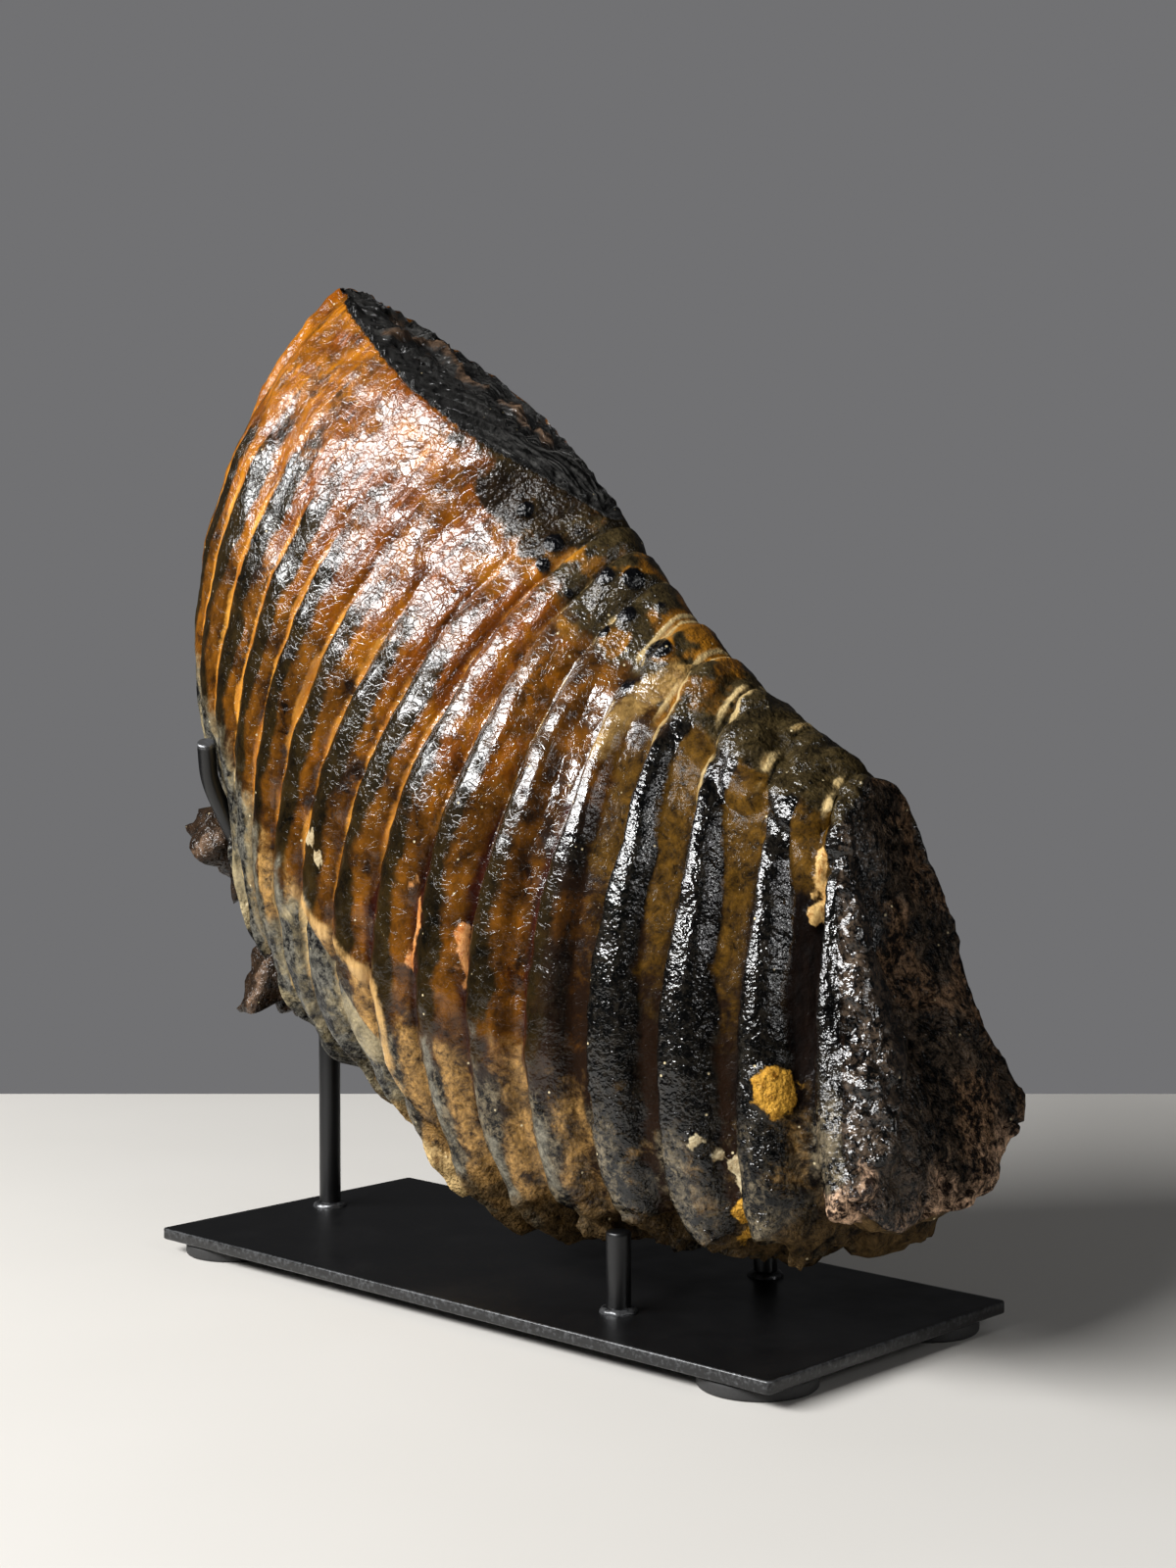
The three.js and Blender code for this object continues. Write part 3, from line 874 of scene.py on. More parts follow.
    def streaks(self, tree: Tree) -> Socket:
        """Random pattern drawn out along the ribs.

        Args:
            tree: the node tree.

        Returns:
            Output of the pattern, from 0 to 1.
        """
        along = add_node(tree, "Attribute", {"attribute_name": "along"}).outputs["Fac"]
        across = add_node(tree, "Attribute", {"attribute_name": "across"}).outputs["Fac"]
        place = add_node(tree, "CombineXYZ", {}, {0: along, 1: across}).outputs[0]
        pattern = add_node(tree, "TexNoise", {"Scale": 1.0, "Detail": 5.0, "Roughness": 0.6},
                           {"Vector": place}).outputs["Fac"]
        low, high = self.streak_range
        return add_node(tree, "MapRange", {"From Min": low, "From Max": high},
                        {"Value": pattern}).outputs[0]

    def shown(self, tree: Tree, layer: Layer, ragged: Socket) -> Socket:
        """A layer's mask with a ragged edge.

        Args:
            tree: the node tree.
            layer: the layer.
            ragged: output of the pattern that tears the edge.

        Returns:
            Output that is 1 where the layer shows.
        """
        mask = add_node(tree, "Attribute", {"attribute_name": layer.mask}).outputs["Fac"]
        torn = add_node(tree, "Math", {"operation": "MULTIPLY_ADD", 1: layer.ragged},
                        {0: ragged, 2: mask}).outputs[0]
        middle = 0.5 + layer.ragged / 2
        step = add_node(tree, "MapRange", {"interpolation_type": "SMOOTHSTEP",
                                           "From Min": middle - layer.edge,
                                           "From Max": middle + layer.edge},
                        {"Value": torn}).outputs[0]
        allowed = add_node(tree, "MapRange", {"From Max": 0.3}, {"Value": mask}).outputs[0]
        return add_node(tree, "Math", {"operation": "MULTIPLY"}, {0: step, 1: allowed}).outputs[0]

    def bump(self, tree: Tree, place: Socket, mottle: Socket) -> Socket:
        """Fine relief: wrinkled and cracked varnish, grit on the columns, a combed worn face.

        Args:
            tree: the node tree.
            place: output that gives the place on the object.
            mottle: output of the pattern that eases the wrinkles here and there.

        Returns:
            Output of the bumped normal.
        """
        curl = add_node(tree, "TexNoise", {"Scale": 1 / (self.wrinkle_mm * MM), "Detail": 3.0,
                                           "Roughness": 0.5, "Distortion": 1.0},
                        {"Vector": place}).outputs["Fac"]
        off = add_node(tree, "Math", {"operation": "SUBTRACT", 1: 0.5}, {0: curl}).outputs[0]
        ridge = add_node(tree, "Math", {"operation": "ABSOLUTE"}, {0: off}).outputs[0]
        amber = add_node(tree, "Attribute", {"attribute_name": "amber"}).outputs["Fac"]
        most = add_node(tree, "Math", {"operation": "MULTIPLY_ADD", 1: self.amber_wrinkles,
                                       2: self.wrinkle_most}, {0: amber}).outputs[0]
        ease = add_node(tree, "MapRange", {"To Min": self.wrinkle_least},
                        {"Value": mottle, "To Max": most}).outputs[0]
        squiggle = add_node(tree, "MapRange", {"From Max": self.wrinkle_width},
                            {"Value": ridge, "To Max": ease}).outputs[0]
        stray = add_node(tree, "TexNoise", {"Scale": 1 / (self.crackle_mm * MM), "Detail": 2.0},
                         {"Vector": place}).outputs["Color"]
        strayed = add_node(tree, "VectorMath", {"operation": "MULTIPLY_ADD",
                                                1: (0.5 * self.crackle_mm * MM,) * 3},
                           {0: stray, 2: place}).outputs[0]
        edge = add_node(tree, "TexVoronoi", {"feature": "DISTANCE_TO_EDGE",
                                             "Scale": 1 / (self.crackle_mm * MM)},
                        {"Vector": strayed}).outputs["Distance"]
        crackle = add_node(tree, "MapRange", {"From Max": self.crackle_width},
                           {"Value": edge, "To Max": ease}).outputs[0]
        dip = add_node(tree, "Math", {"operation": "MULTIPLY_ADD", 1: self.crackle_share},
                       {0: crackle, 2: squiggle}).outputs[0]
        grit = add_node(tree, "TexNoise", {"Scale": 1 / (self.grit_mm * MM), "Detail": 2.0,
                                           "Roughness": 0.5}, {"Vector": place}).outputs["Fac"]
        rocky = add_node(tree, "Attribute", {"attribute_name": "rocky"}).outputs["Fac"]
        height = add_node(tree, "MapRange", {"To Min": self.grit_height,
                                             "To Max": self.rock_height},
                          {"Value": rocky}).outputs[0]
        stone = add_node(tree, "Math", {"operation": "MULTIPLY"}, {0: grit, 1: height}).outputs[0]
        grainy = add_node(tree, "Attribute", {"attribute_name": "grainy"}).outputs["Fac"]
        height = add_node(tree, "Mix", {"data_type": "FLOAT"},
                          {0: grainy, 2: dip, 3: stone}).outputs[0]
        stripe = add_node(tree, "Attribute", {"attribute_name": "stripe"}).outputs["Fac"]
        wave = add_node(tree, "Math", {"operation": "SINE"}, {0: stripe}).outputs[0]
        combed = add_node(tree, "Math", {"operation": "MULTIPLY_ADD", 1: self.comb_height},
                          {0: wave, 2: height}).outputs[0]
        return add_node(tree, "Bump", {"Strength": 1.0, "Distance": self.wrinkle_depth_mm * MM},
                        {"Height": combed}).outputs[0]


@dataclass(frozen=True)
class PaintedSteel:
    """Mild steel bar and plate, sprayed satin black.

    A fine even grain dulls the reflections; edges are rubbed back to grey steel.
    """

    paint: str = "#0c0c0d"
    worn: str = "#6f7072"
    ior: float = 1.5
    roughness: float = 0.34
    roughness_spread: tuple = (-0.06, 0.08)
    cloud_mm: float = 14.0
    # Sprayed paint has a grain of about 0.3 mm; it is drawn at three times that, to show.
    grain_mm: float = 0.9
    grain_depth_mm: float = 0.1
    grain_strength: float = 0.12
    rub: float = 0.9
    rub_range: tuple = (1.0, 1.45)

    def material(self) -> bpy.types.Material:
        """Builds the finish.

        Returns:
            The material, which reads the mesh's mask of rubbed edges.
        """
        # Satin sprayed paint: soft grey reflections on near black.
        material, tree = blank_material("satin_black_painted_steel")
        place = add_node(tree, "TexCoord").outputs["Object"]
        broad = add_node(tree, "TexNoise", {"Scale": 1 / (self.cloud_mm * MM), "Detail": 5.0},
                         {"Vector": place}).outputs["Fac"]
        grain = add_node(tree, "TexNoise", {"Scale": 1 / (self.grain_mm * MM), "Detail": 4.0},
                         {"Vector": place}).outputs["Fac"]
        edge = add_node(tree, "Attribute", {"attribute_name": "edge"}).outputs["Fac"]
        torn = add_node(tree, "Math", {"operation": "MULTIPLY_ADD", 1: self.rub},
                        {0: grain, 2: edge}).outputs[0]
        low, high = self.rub_range
        rubbed = add_node(tree, "MapRange", {"From Min": low, "From Max": high},
                          {"Value": torn}).outputs[0]
        colour = add_node(tree, "Mix", {"data_type": "RGBA", 6: linear(self.paint),
                                        7: linear(self.worn)}, {0: rubbed}).outputs[2]
        less, more = self.roughness_spread
        rough = add_node(tree, "MapRange", {"From Min": 0.3, "From Max": 0.7,
                                            "To Min": self.roughness + less,
                                            "To Max": self.roughness + more},
                         {"Value": broad}).outputs[0]
        bump = add_node(tree, "Bump", {"Strength": self.grain_strength,
                                       "Distance": self.grain_depth_mm * MM},
                        {"Height": grain}).outputs[0]
        shader = add_node(tree, "BsdfPrincipled", {"IOR": self.ior},
                          {"Base Color": colour, "Roughness": rough, "Metallic": rubbed,
                           "Normal": bump})
        add_node(tree, "OutputMaterial", {}, {"Surface": shader.outputs[0]})
        return material


@dataclass(frozen=True)
class MouldedRubber:
    """Black rubber, moulded: dull, with a fine even grain."""

    colour: str = "#101011"
    dusty: str = "#2a2928"
    ior: float = 1.52
    roughness: float = 0.75
    # The mould's grain is about 0.3 mm; it is drawn nearly three times as coarse, to show.
    grain_mm: float = 0.8
    grain_depth_mm: float = 0.1
    grain_strength: float = 0.3

    def material(self) -> bpy.types.Material:
        """Builds the finish.

        Returns:
            The material.
        """
        # Moulded rubber: no highlight, only a dusty black.
        material, tree = blank_material("moulded_black_rubber")
        place = add_node(tree, "TexCoord").outputs["Object"]
        grain = add_node(tree, "TexNoise", {"Scale": 1 / (self.grain_mm * MM), "Detail": 4.0},
                         {"Vector": place}).outputs["Fac"]
        colour = add_node(tree, "Mix", {"data_type": "RGBA", 6: linear(self.colour),
                                        7: linear(self.dusty)}, {0: grain}).outputs[2]
        bump = add_node(tree, "Bump", {"Strength": self.grain_strength,
                                       "Distance": self.grain_depth_mm * MM},
                        {"Height": grain}).outputs[0]
        shader = add_node(tree, "BsdfPrincipled", {"IOR": self.ior, "Roughness": self.roughness},
                          {"Base Color": colour, "Normal": bump})
        add_node(tree, "OutputMaterial", {}, {"Surface": shader.outputs[0]})
        return material


# ------------------------------------------------------------------ claw and posts
def dress(obj: bpy.types.Object, finish: bpy.types.Material, slot: str,
          *nodes: str) -> bpy.types.Object:
    """Gives a piece its finish and its place in the frame, and reports it.

    Args:
        obj: the piece.
        finish: its material.
        slot: name of its material slot; not used.
        nodes: names of the solids that it replaces.

    Returns:
        The piece.
    """
    obj.data.materials.clear()
    obj.data.materials.append(finish)
    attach(obj, "root")
    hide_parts(*nodes)
    LOG.info("%s: %d faces", obj.name, len(obj.data.polygons))
    return obj


@dataclass
class Claw:
    """Round steel bar bent up from the left post to hold the tooth's side."""

    radius: float = 2.6
    path: tuple = ((-99, 4, 84), (-101, -7, 92), (-103.5, -18, 102), (-105, -26, 112),
                   (-105.5, -31.5, 122), (-104.5, -36.5, 131), (-101, -40.5, 141))
    steps: int = 90
    sides: int = 32
    tip_share: float = 0.88
    tip_length: float = 0.3
    tip_rub: float = 0.8
    crease: float = 40.0

    def line(self) -> Array:
        """Centre line of the bar.

        Returns:
            Places in mm from the left post to the tip.
        """
        knots = np.arange(len(self.path))
        at = np.linspace(0, len(self.path) - 1, self.steps)
        return np.stack([curve(knots, axis, at) for axis in np.array(self.path, float).T], axis=-1)

    def build(self, finish: bpy.types.Material) -> bpy.types.Object:
        """Sweeps the bar and dresses it.

        Args:
            finish: the bar's material.

        Returns:
            The bar.
        """
        line = self.line()
        run = np.gradient(line, axis=0)
        run /= np.linalg.norm(run, axis=-1, keepdims=True)
        side = np.cross(run, [1.0, 0.0, 0.0])
        side /= np.linalg.norm(side, axis=-1, keepdims=True)
        turn = ring_angles(self.sides)
        ring = (np.cos(turn)[:, None] * side[:, None] + np.sin(turn)[:, None]
                * np.cross(run, side)[:, None]) * self.radius
        tip = line[-1] + ring[-1] * self.tip_share + run[-1] * self.tip_length
        rings = np.concatenate([line[:, None] + ring, tip[None]])
        edge = np.zeros(rings.shape[:2])
        edge[-3:] = self.tip_rub
        claw = grid_object("claw_bar", rings, {"edge": edge}, self.crease)
        return dress(claw, finish, "black_steel", "claw")


@dataclass
class Stand:
    """Base plate, three welded posts and four feet, with sizes in mm."""

    length: float = 225.0
    width: float = 97.5
    thick: float = 3.2
    corner: float = 1.5
    corner_least: float = 0.3
    ease: float = 0.5
    flat_insets: tuple = (12.0, 2.0)
    edge_rub: tuple = (0, 0, 0.4, 0.6, 0.6, 0.5, 0.6, 0.7, 0.7, 0.5, 0, 0)

    rod: float = 3.2
    bead: float = 4.9
    bead_height: float = 1.5
    bead_rows: int = 9
    post_rows: int = 24
    post_sides: int = 48
    top_ease: float = 0.3
    ripple_mm: float = 1.8
    ripple_height: float = 0.25
    weld_rub: float = 0.75

    foot_radius: float = 14.5
    foot_ease: float = 0.8
    foot_sides: int = 72
    foot_hub: float = 0.3
    crease: float = 50.0

    def node_box(self, node: str) -> tuple[Array, Array]:
        """Lowest and highest corner of a solid, in mm from the middle of the plate's top."""
        return tuple(np.array(corner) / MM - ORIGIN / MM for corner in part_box(node))

    def outline(self, inset: float, steps: int = 6) -> Array:
        """Rounded rectangle of the plate's edge.

        Args:
            inset: how far it is drawn in, in mm.
            steps: number of points in each corner.

        Returns:
            Places x and y in mm, once round.
        """
        radius = max(self.corner - inset, self.corner_least)
        half = np.array([self.length / 2 - inset - radius, self.width / 2 - inset - radius])
        places = []
        for quarter, (sx, sy) in enumerate(((1, 1), (-1, 1), (-1, -1), (1, -1))):
            for turn in np.linspace(0, math.pi / 2, steps) + quarter * math.pi / 2:
                places.append((sx * half[0] + radius * math.cos(turn),
                               sy * half[1] + radius * math.sin(turn)))
        return np.array(places)

    def plate(self, finish: bpy.types.Material) -> bpy.types.Object:
        """Flat steel plate with eased edges.

        Args:
            finish: the plate's material.

        Returns:
            The plate.
        """
        levels = [*[(inset, -self.thick) for inset in self.flat_insets],
                  *eased(self.ease, -self.thick, 0.0, 3),
                  *[(inset, 0.0) for inset in reversed(self.flat_insets)]]
        loops = [self.outline(inset) for inset, _ in levels]
        rings = np.stack([np.column_stack([loop, np.full(len(loop), z)])
                          for loop, (_, z) in zip(loops, levels)])
        edge = np.array(self.edge_rub)[:, None] + np.zeros(rings.shape[:2])
        plate = grid_object("base_plate_painted", rings, {"edge": edge}, self.crease)
        return dress(plate, finish, "black_steel", "base_plate")

    def post(self, node: str, finish: bpy.types.Material, seed: int) -> bpy.types.Object:
        """Round bar with the ripple of its weld at the foot.

        Args:
            node: name of the post's solid.
            finish: the post's material.
            seed: number of the ripple's pattern.

        Returns:
            The post.
        """
        low, high = self.node_box(node)
        centre, top = (*((low + high) / 2)[:2], 0.0), high[2]
        heights = np.concatenate([np.linspace(0, 1, self.bead_rows) * self.bead_height,
                                  np.linspace(self.bead_height + 0.6, top - self.top_ease,
                                              self.post_rows), [top]])
        swell = np.sqrt(np.clip(1 - (heights / self.bead_height) ** 2, 0, 1))
        radius = self.rod + (self.bead - self.rod) * swell
        radius[-1] -= self.top_ease
        rings = lathe(np.column_stack([radius, heights]), centre, self.post_sides)
        near_foot = smooth((3 - heights[:, None]) / 2)
        ripple = field(rings, self.ripple_mm, seed, 2) * self.ripple_height * near_foot
        rings[..., :2] += (rings[..., :2] - np.array(centre[:2])) / 4 * ripple[..., None]
        edge = (self.weld_rub * smooth((2.4 - heights[:, None]) / 1.5)
                + np.zeros(rings.shape[:2]))
        bar = grid_object(node + "_bar", rings, {"edge": edge}, self.crease)
        return dress(bar, finish, "black_steel", node)

    def foot(self, node: str, finish: bpy.types.Material) -> bpy.types.Object:
        """Moulded disc under one corner.

        Args:
            node: name of the foot's solid.
            finish: the foot's material.

        Returns:
            The disc.
        """
        low, high = self.node_box(node)
        tall = high[2] - low[2]
        side = [(self.foot_radius - inset, z) for inset, z in eased(self.foot_ease, 0, tall, 4)]
        profile = [(self.foot_hub, 0), *side, (self.foot_hub, tall)]
        rings = lathe(profile, (*((low + high) / 2)[:2], low[2]), self.foot_sides)
        disc = grid_object(node + "_disc", rings, crease=self.crease)
        return dress(disc, finish, "black_rubber", node)


# ------------------------------------------------------------------ tooth
@dataclass
class Ground:
    """What the masks read at each point of the tooth's grid."""

    # Places in mm, as they are and torn a little, for ragged spots.
    point: Array
    torn: Array
    # Plate number and depth as built, then as the ribs count them, then with uneven borders.
    number: Array
    level: Array
    ribbed: Array
    plate: Array
    depth: Array
    # Place across a rib, in plates from its crest and from the groove behind it.
    across: Array
    turn: Array
    # Random fields, from wide to narrow.
    patchy: Array
    streaky: Array
    spread: Array
    blotch: Array
    # Shares from 0 to 1: parts of the tooth and parts of a rib.
    right: Array
    left: Array
    low: Array
    crown: Array
    below: Array
    back_end: Array
    body: Array
    worn: Array
    under: Array
    free: Array
    bar: Array
    crest: Array
    slope: Array
    trench: Array
    amber: Array
    lobe: Array
    # Distance from the fold in mm.
    fold: Array


@dataclass
class FossilTooth:
    """The tooth: its form, the fine relief on it and the masks that its finish reads.

    Spots are x, y, z and reach in mm, with a height where there is a fifth number. Paths are
    their corners in mm.
    """

    form: ToothForm
    claw: Claw
    claw_room: float = 3.4
    claw_passes: int = 4

    tips: tuple = ((1.6, -13.2, 203.8, 3.0), (10.7, -12.1, 194.7, 3.4), (9.1, -14.7, 188.7, 2.6),
                   (25.8, -7.9, 184.7, 4.0), (32.8, -5.5, 184.9, 3.8), (19.8, -15.6, 181.1, 2.9),
                   (34.5, -10.2, 175.5, 3.2), (41.8, -4.8, 178.7, 2.9), (30.2, -14.8, 171.6, 2.9),
                   (45.5, -9.6, 165.6, 4.6), (41.8, -18.3, 158.0, 3.1))
    patch: tuple = ((103.0, -35.2, 63.8, 5.4), (90.1, -30, 33, 3.4), (89, -26, 25.5, 3.6))
    flake: tuple = ((103.6, -15.9, 118.1), (103.0, -17.5, 112.3), (104.5, -17.5, 106.5),
                    (103.5, -19.0, 101.9))
    knobs: tuple = ((106.3, -14.5, 120.8, 4.5, 2.5), (104.7, -10.1, 127.7, 5, 2.5),
                    (104.7, -5.4, 132.5, 4.5, 2.2), (81.5, -15.7, 134.4, 9, 3.2),
                    (95.4, -13.6, 128.5, 8.5, 3.2), (75.5, -12.6, 142.7, 7, 2.4),
                    (66, -13, 152, 6, 2.2), (58.5, -9.5, 158.5, 7, 2.2), (69, -3, 154, 6, 2.0),
                    (51.9, -12.4, 162.5, 4.5, 1.6), (96, 1, 138.2, 6, 2.2), (84, 0, 143, 7, 2.0))
    deposit: tuple = ((83.0, -39.5, 49.5, 1.7), (86.5, -36.5, 46.0, 2.2), (90.5, -33.0, 43.5, 2.4),
                      (91.0, -31.5, 39.0, 2.0), (-47.5, -46.4, 116.5, 2.4),
                      (-45.3, -46.7, 111.5, 1.6))
    crumb: tuple = ((-8.9, -44.5, 106.0), (-6.0, -45.5, 96.0), (-10.5, -44.1, 84.3))
    crumbs: tuple = ((7.4, -43.2, 95.0), (8.1, -41.6, 80.2))
    cream: tuple = ((51.6, -10.7, 159.5), (45.0, -20.8, 152.5), (41.2, -28.6, 142.9))
    dot: tuple = ((41.1, -16.8, 162.0, 2.4),)
    fold: tuple = ((-56.9, -44.4, 100.7), (-44.7, -44.6, 90.7), (-38.1, -45.9, 87.4),
                   (-28.8, -44.6, 80.9), (-22.5, -45.8, 75.5), (-20.5, -45.3, 68.4),
                   (-20.5, -42.1, 58.1), (-18, -38, 49))
    torn_mm: float = 1.3
    pebble_mm: float = 3.6
    # How far each kind of spot stands out, in mm.
    spot_heights: tuple = (("tip", 1.1), ("patch", 1.3), ("flake", 1.2), ("deposit", 0.5),
                           ("crumb", 0.9), ("fold", 1.1))
    # How far the streaks' pattern runs on from crown to foot, and from one plate to the next.
    streak_run: tuple = (12, 7)

    # The worn face: pits are x, y, length, width and depth; the lip is its raised far edge.
    pits: tuple = ((-51.6, -7, 4.5, 2.2, 3.5), (-44, -1.6, 6.5, 3.2, 5.0),
                   (-32, 11.5, 4.5, 2.6, 4.0), (-19.5, 13.2, 3.5, 2.4, 3.0),
                   (-66, -2, 7.0, 4.0, 1.5), (-58, 14, 4.0, 2.5, 2.5))
    pit_run: tuple = (0.6, 0.8)
    lip: tuple = ((-57, -10), (-58, -1), (-59, 6.7), (-54.7, 10), (-49.6, 10.3), (-43, 6.7),
                  (-38, 8), (-30.5, 10), (-25, 10), (-14, 12))
    lip_mm: float = 1.6
    lip_height: float = 2.8
    comb_centre: tuple = (-0.4, -26.1)
    comb_mm: float = 3.9
    fine_comb_mm: float = 2.3
    # The real scratches are about 0.5 mm apart; they are drawn three times coarser, to show.
    stripe_mm: float = 1.5

    # Root stumps: start, end, and half widths there.
    stumps: tuple = (((-102, -8, 117), (-122.5, -20, 105), 17.0, 14.0),
                     ((-82, -15, 94), (-92, -24, 64), 12.5, 9.5))
    stump_rings: int = 30
    stump_sides: int = 56
    stump_hollow: tuple = ((1.0, 0.86), (0.97, 0.68), (0.9, 0.5), (0.8, 0.25))

    def normals(self, point: Array) -> Array:
        """Outward directions of a grid of points that closes round its columns.

        Args:
            point: rows by columns of places.

        Returns:
            A direction of length 1 for each place.
        """
        along = np.gradient(point, axis=0)
        around = (np.roll(point, -1, axis=1) - np.roll(point, 1, axis=1)) / 2
        normal = np.cross(along, around)
        normal /= np.maximum(np.linalg.norm(normal, axis=-1, keepdims=True), 1e-9)
        outward = np.sum((point - point.mean(axis=(0, 1))) * normal)
        return normal if outward > 0 else -normal

    def worn_gap(self, point: Array) -> Array:
        """How far points lie above the plane of the worn face.

        Args:
            point: places in mm.

        Returns:
            Height in mm, square to the plane.
        """
        slope = self.form.worn_slope
        rise = point[..., 2] - self.form.worn_height - slope * point[..., 0]
        return rise / math.hypot(1, slope)

    def fold_gap(self, point: Array) -> tuple[Array, Array]:
        """Where points lie beside the fold of the near side.

        Args:
            point: places in mm.

        Returns:
            Distance from the fold in mm, and 1 on the low ground below it on the near side.
        """
        path = np.array(self.fold)
        run = path[-1] - path[0]
        beyond = point - path[0]
        side = (beyond[..., 0] * run[2] - beyond[..., 2] * run[0]) / math.hypot(run[0], run[2])
        share = (beyond @ run) / (run @ run)
        inside = smooth(share / 0.1 + 0.5) * smooth((1.15 - share) / 0.25)
        low = smooth(side / 2.0 + 0.5) * (point[..., 1] < 0) * inside
        return distance_to_path(point, path), low

    def ground(self, grid: Surface) -> Ground:
        """Reads what each point of the grid lies on.

        Args:
            grid: the tooth's form.

        Returns:
            Counts, shares and random fields for each point.
        """
        point, number, level = grid.point, grid.plate, grid.depth
        patchy, blotch = field(point, 30, 41, 3), field(point, 9, 57, 3)
        spread, streaky = field(point, 14, 83, 3), field(point * (1, 2.4, 1), 16, 97, 3)
        stray = np.stack([field(point, 4, seed, 3) for seed in (201, 202, 203)], -1)
        depth = level + 0.05 * patchy
        ribbed = self.form.leaning(number, level)
        plate = ribbed + 0.5 * patchy
        across = (self.form.rib_crest - ribbed + 0.05 * blotch) % 1.0
        turn = (across - 0.6) % 1.0
        free = self.form.right(number)
        offset = self.form.bar_offset(across - self.form.bar_shift)
        back_end = smooth(grid.end / 0.1) * (number < 2)
        fold, under = self.fold_gap(point)
        left, top = smooth((plate - 8.5) / 2), smooth((0.44 - depth) / 0.16)
        crest = smooth(turn / 0.05) * (1 - smooth((turn - 0.42 - 0.12 * spread) / 0.3))
        worn = np.clip(self.worn_gap(point) + 0.5, 0, 1)
        amber = np.maximum(smooth((plate - 11) / 3) * smooth((0.5 - depth) / 0.15),
                           top * smooth((plate - 5.5) / 3))
        return Ground(
            point=point, torn=point + self.torn_mm * stray, number=number, level=level,
            ribbed=ribbed, plate=plate, depth=depth, across=across, turn=turn, patchy=patchy,
            streaky=streaky, spread=spread, blotch=blotch, free=free, fold=fold, under=under,
            worn=worn, left=left, crest=crest, back_end=back_end, body=1 - back_end,
            right=smooth((5.4 - plate) / 1.6), low=smooth((depth - 0.63) / 0.16),
            crown=smooth((0.12 - level + 0.025 * blotch) / 0.04) * smooth((12.3 - plate) / 1.5),
            below=smooth((level - 0.9) / 0.05),
            bar=smooth((1.12 - np.abs(offset) / self.form.bar_width(level)) / 0.3),
            slope=smooth((turn - 0.45 - 0.08 * spread) / 0.2) * smooth((1 - turn) / 0.06),
            trench=bell(across - 0.1 * free, 0.62, 0.15),
            amber=amber * (1 - 0.3 * crest * (1 - left)) * (1 - worn),
            lobe=smooth((point[..., 1] + 9 + 5 * blotch) / 8))

    def flank_masks(self, at: Ground) -> dict[str, Array]:
        """Masks of the upper flanks: amber, rust and olive ribs, bright grooves and painted trench
        shade.

        Args:
            at: what each point lies on.

        Returns:
            The masks by name.
        """
        closed = 1 - at.right
        shaded = (bell(at.plate, 12.0, 3.2) * bell(at.depth, 0.27, 0.16)
                  * smooth(0.9 + 0.9 * at.streaky))
        open_groove = smooth((at.level - 0.26) / 0.12) + smooth((10 - at.plate) / 3)
        return {
            "rust": closed * (1 - 0.4 * at.low) * (0.6 + 0.4 * at.blotch + 0.2 * at.slope),
            "amber": (at.amber + 0.35 * at.slope * closed * (1 - at.low)
                      * smooth(0.2 + 1.2 * at.spread)),
            "honey": at.amber * smooth((at.streaky + 0.15) / 0.5),
            "russet": at.amber * np.maximum(smooth((-at.streaky - 0.05) / 0.5), 0.85 * shaded),
            "olive": (at.crest * (1 - 0.8 * at.low) * (1 - 0.6 * smooth((0.36 - at.depth) / 0.14))
                      * closed * (1.05 + 0.25 * at.spread)),
            "groove": (bell(at.across, 0.58, 0.065) * closed * (1 - 0.6 * at.low)
                       * smooth((at.plate - 6.3) / 2) * np.clip(open_groove, 0, 1)
                       * smooth(1.3 + 0.9 * at.blotch)),
            # Dark red in the trenches: partly the stone's red, partly painted shade of the trench.
            "red_tint_and_shade": (at.trench * smooth((at.plate - 4) / 1) * smooth((9.8 - at.plate) / 1)
                      * smooth((at.depth - 0.2 - 0.08 * (at.plate - 5)) / 0.1)
                      * smooth((0.9 - at.depth) / 0.1)),
        }

    def column_masks(self, at: Ground) -> dict[str, Array]:
        """Masks of the free columns: black bars, mossy valleys and painted shade in the deep
        valleys.

        Args:
            at: what each point lies on.

        Returns:
            The masks by name.
        """
        columns, valley = at.right * at.body, 1 - at.bar
        # Painted shade: the trench before each bar and the recess by the first column get a near
        # black colour.
        deep = np.maximum(at.trench * (0.6 + 0.4 * smooth((3.6 - at.ribbed) / 1)),
                          smooth((2.3 - at.ribbed) / 0.4) * valley)
        return {
            "black": columns * (0.35 + 0.65 * at.bar),
            "moss": (columns * valley * smooth((0.66 - at.depth) / 0.3)
                     * (0.9 + 0.3 * at.blotch)),
            # Near black painted shade in the trenches and deep valleys.
            "painted_shade": columns * deep * smooth((at.depth - 0.2) / 0.1),
        }

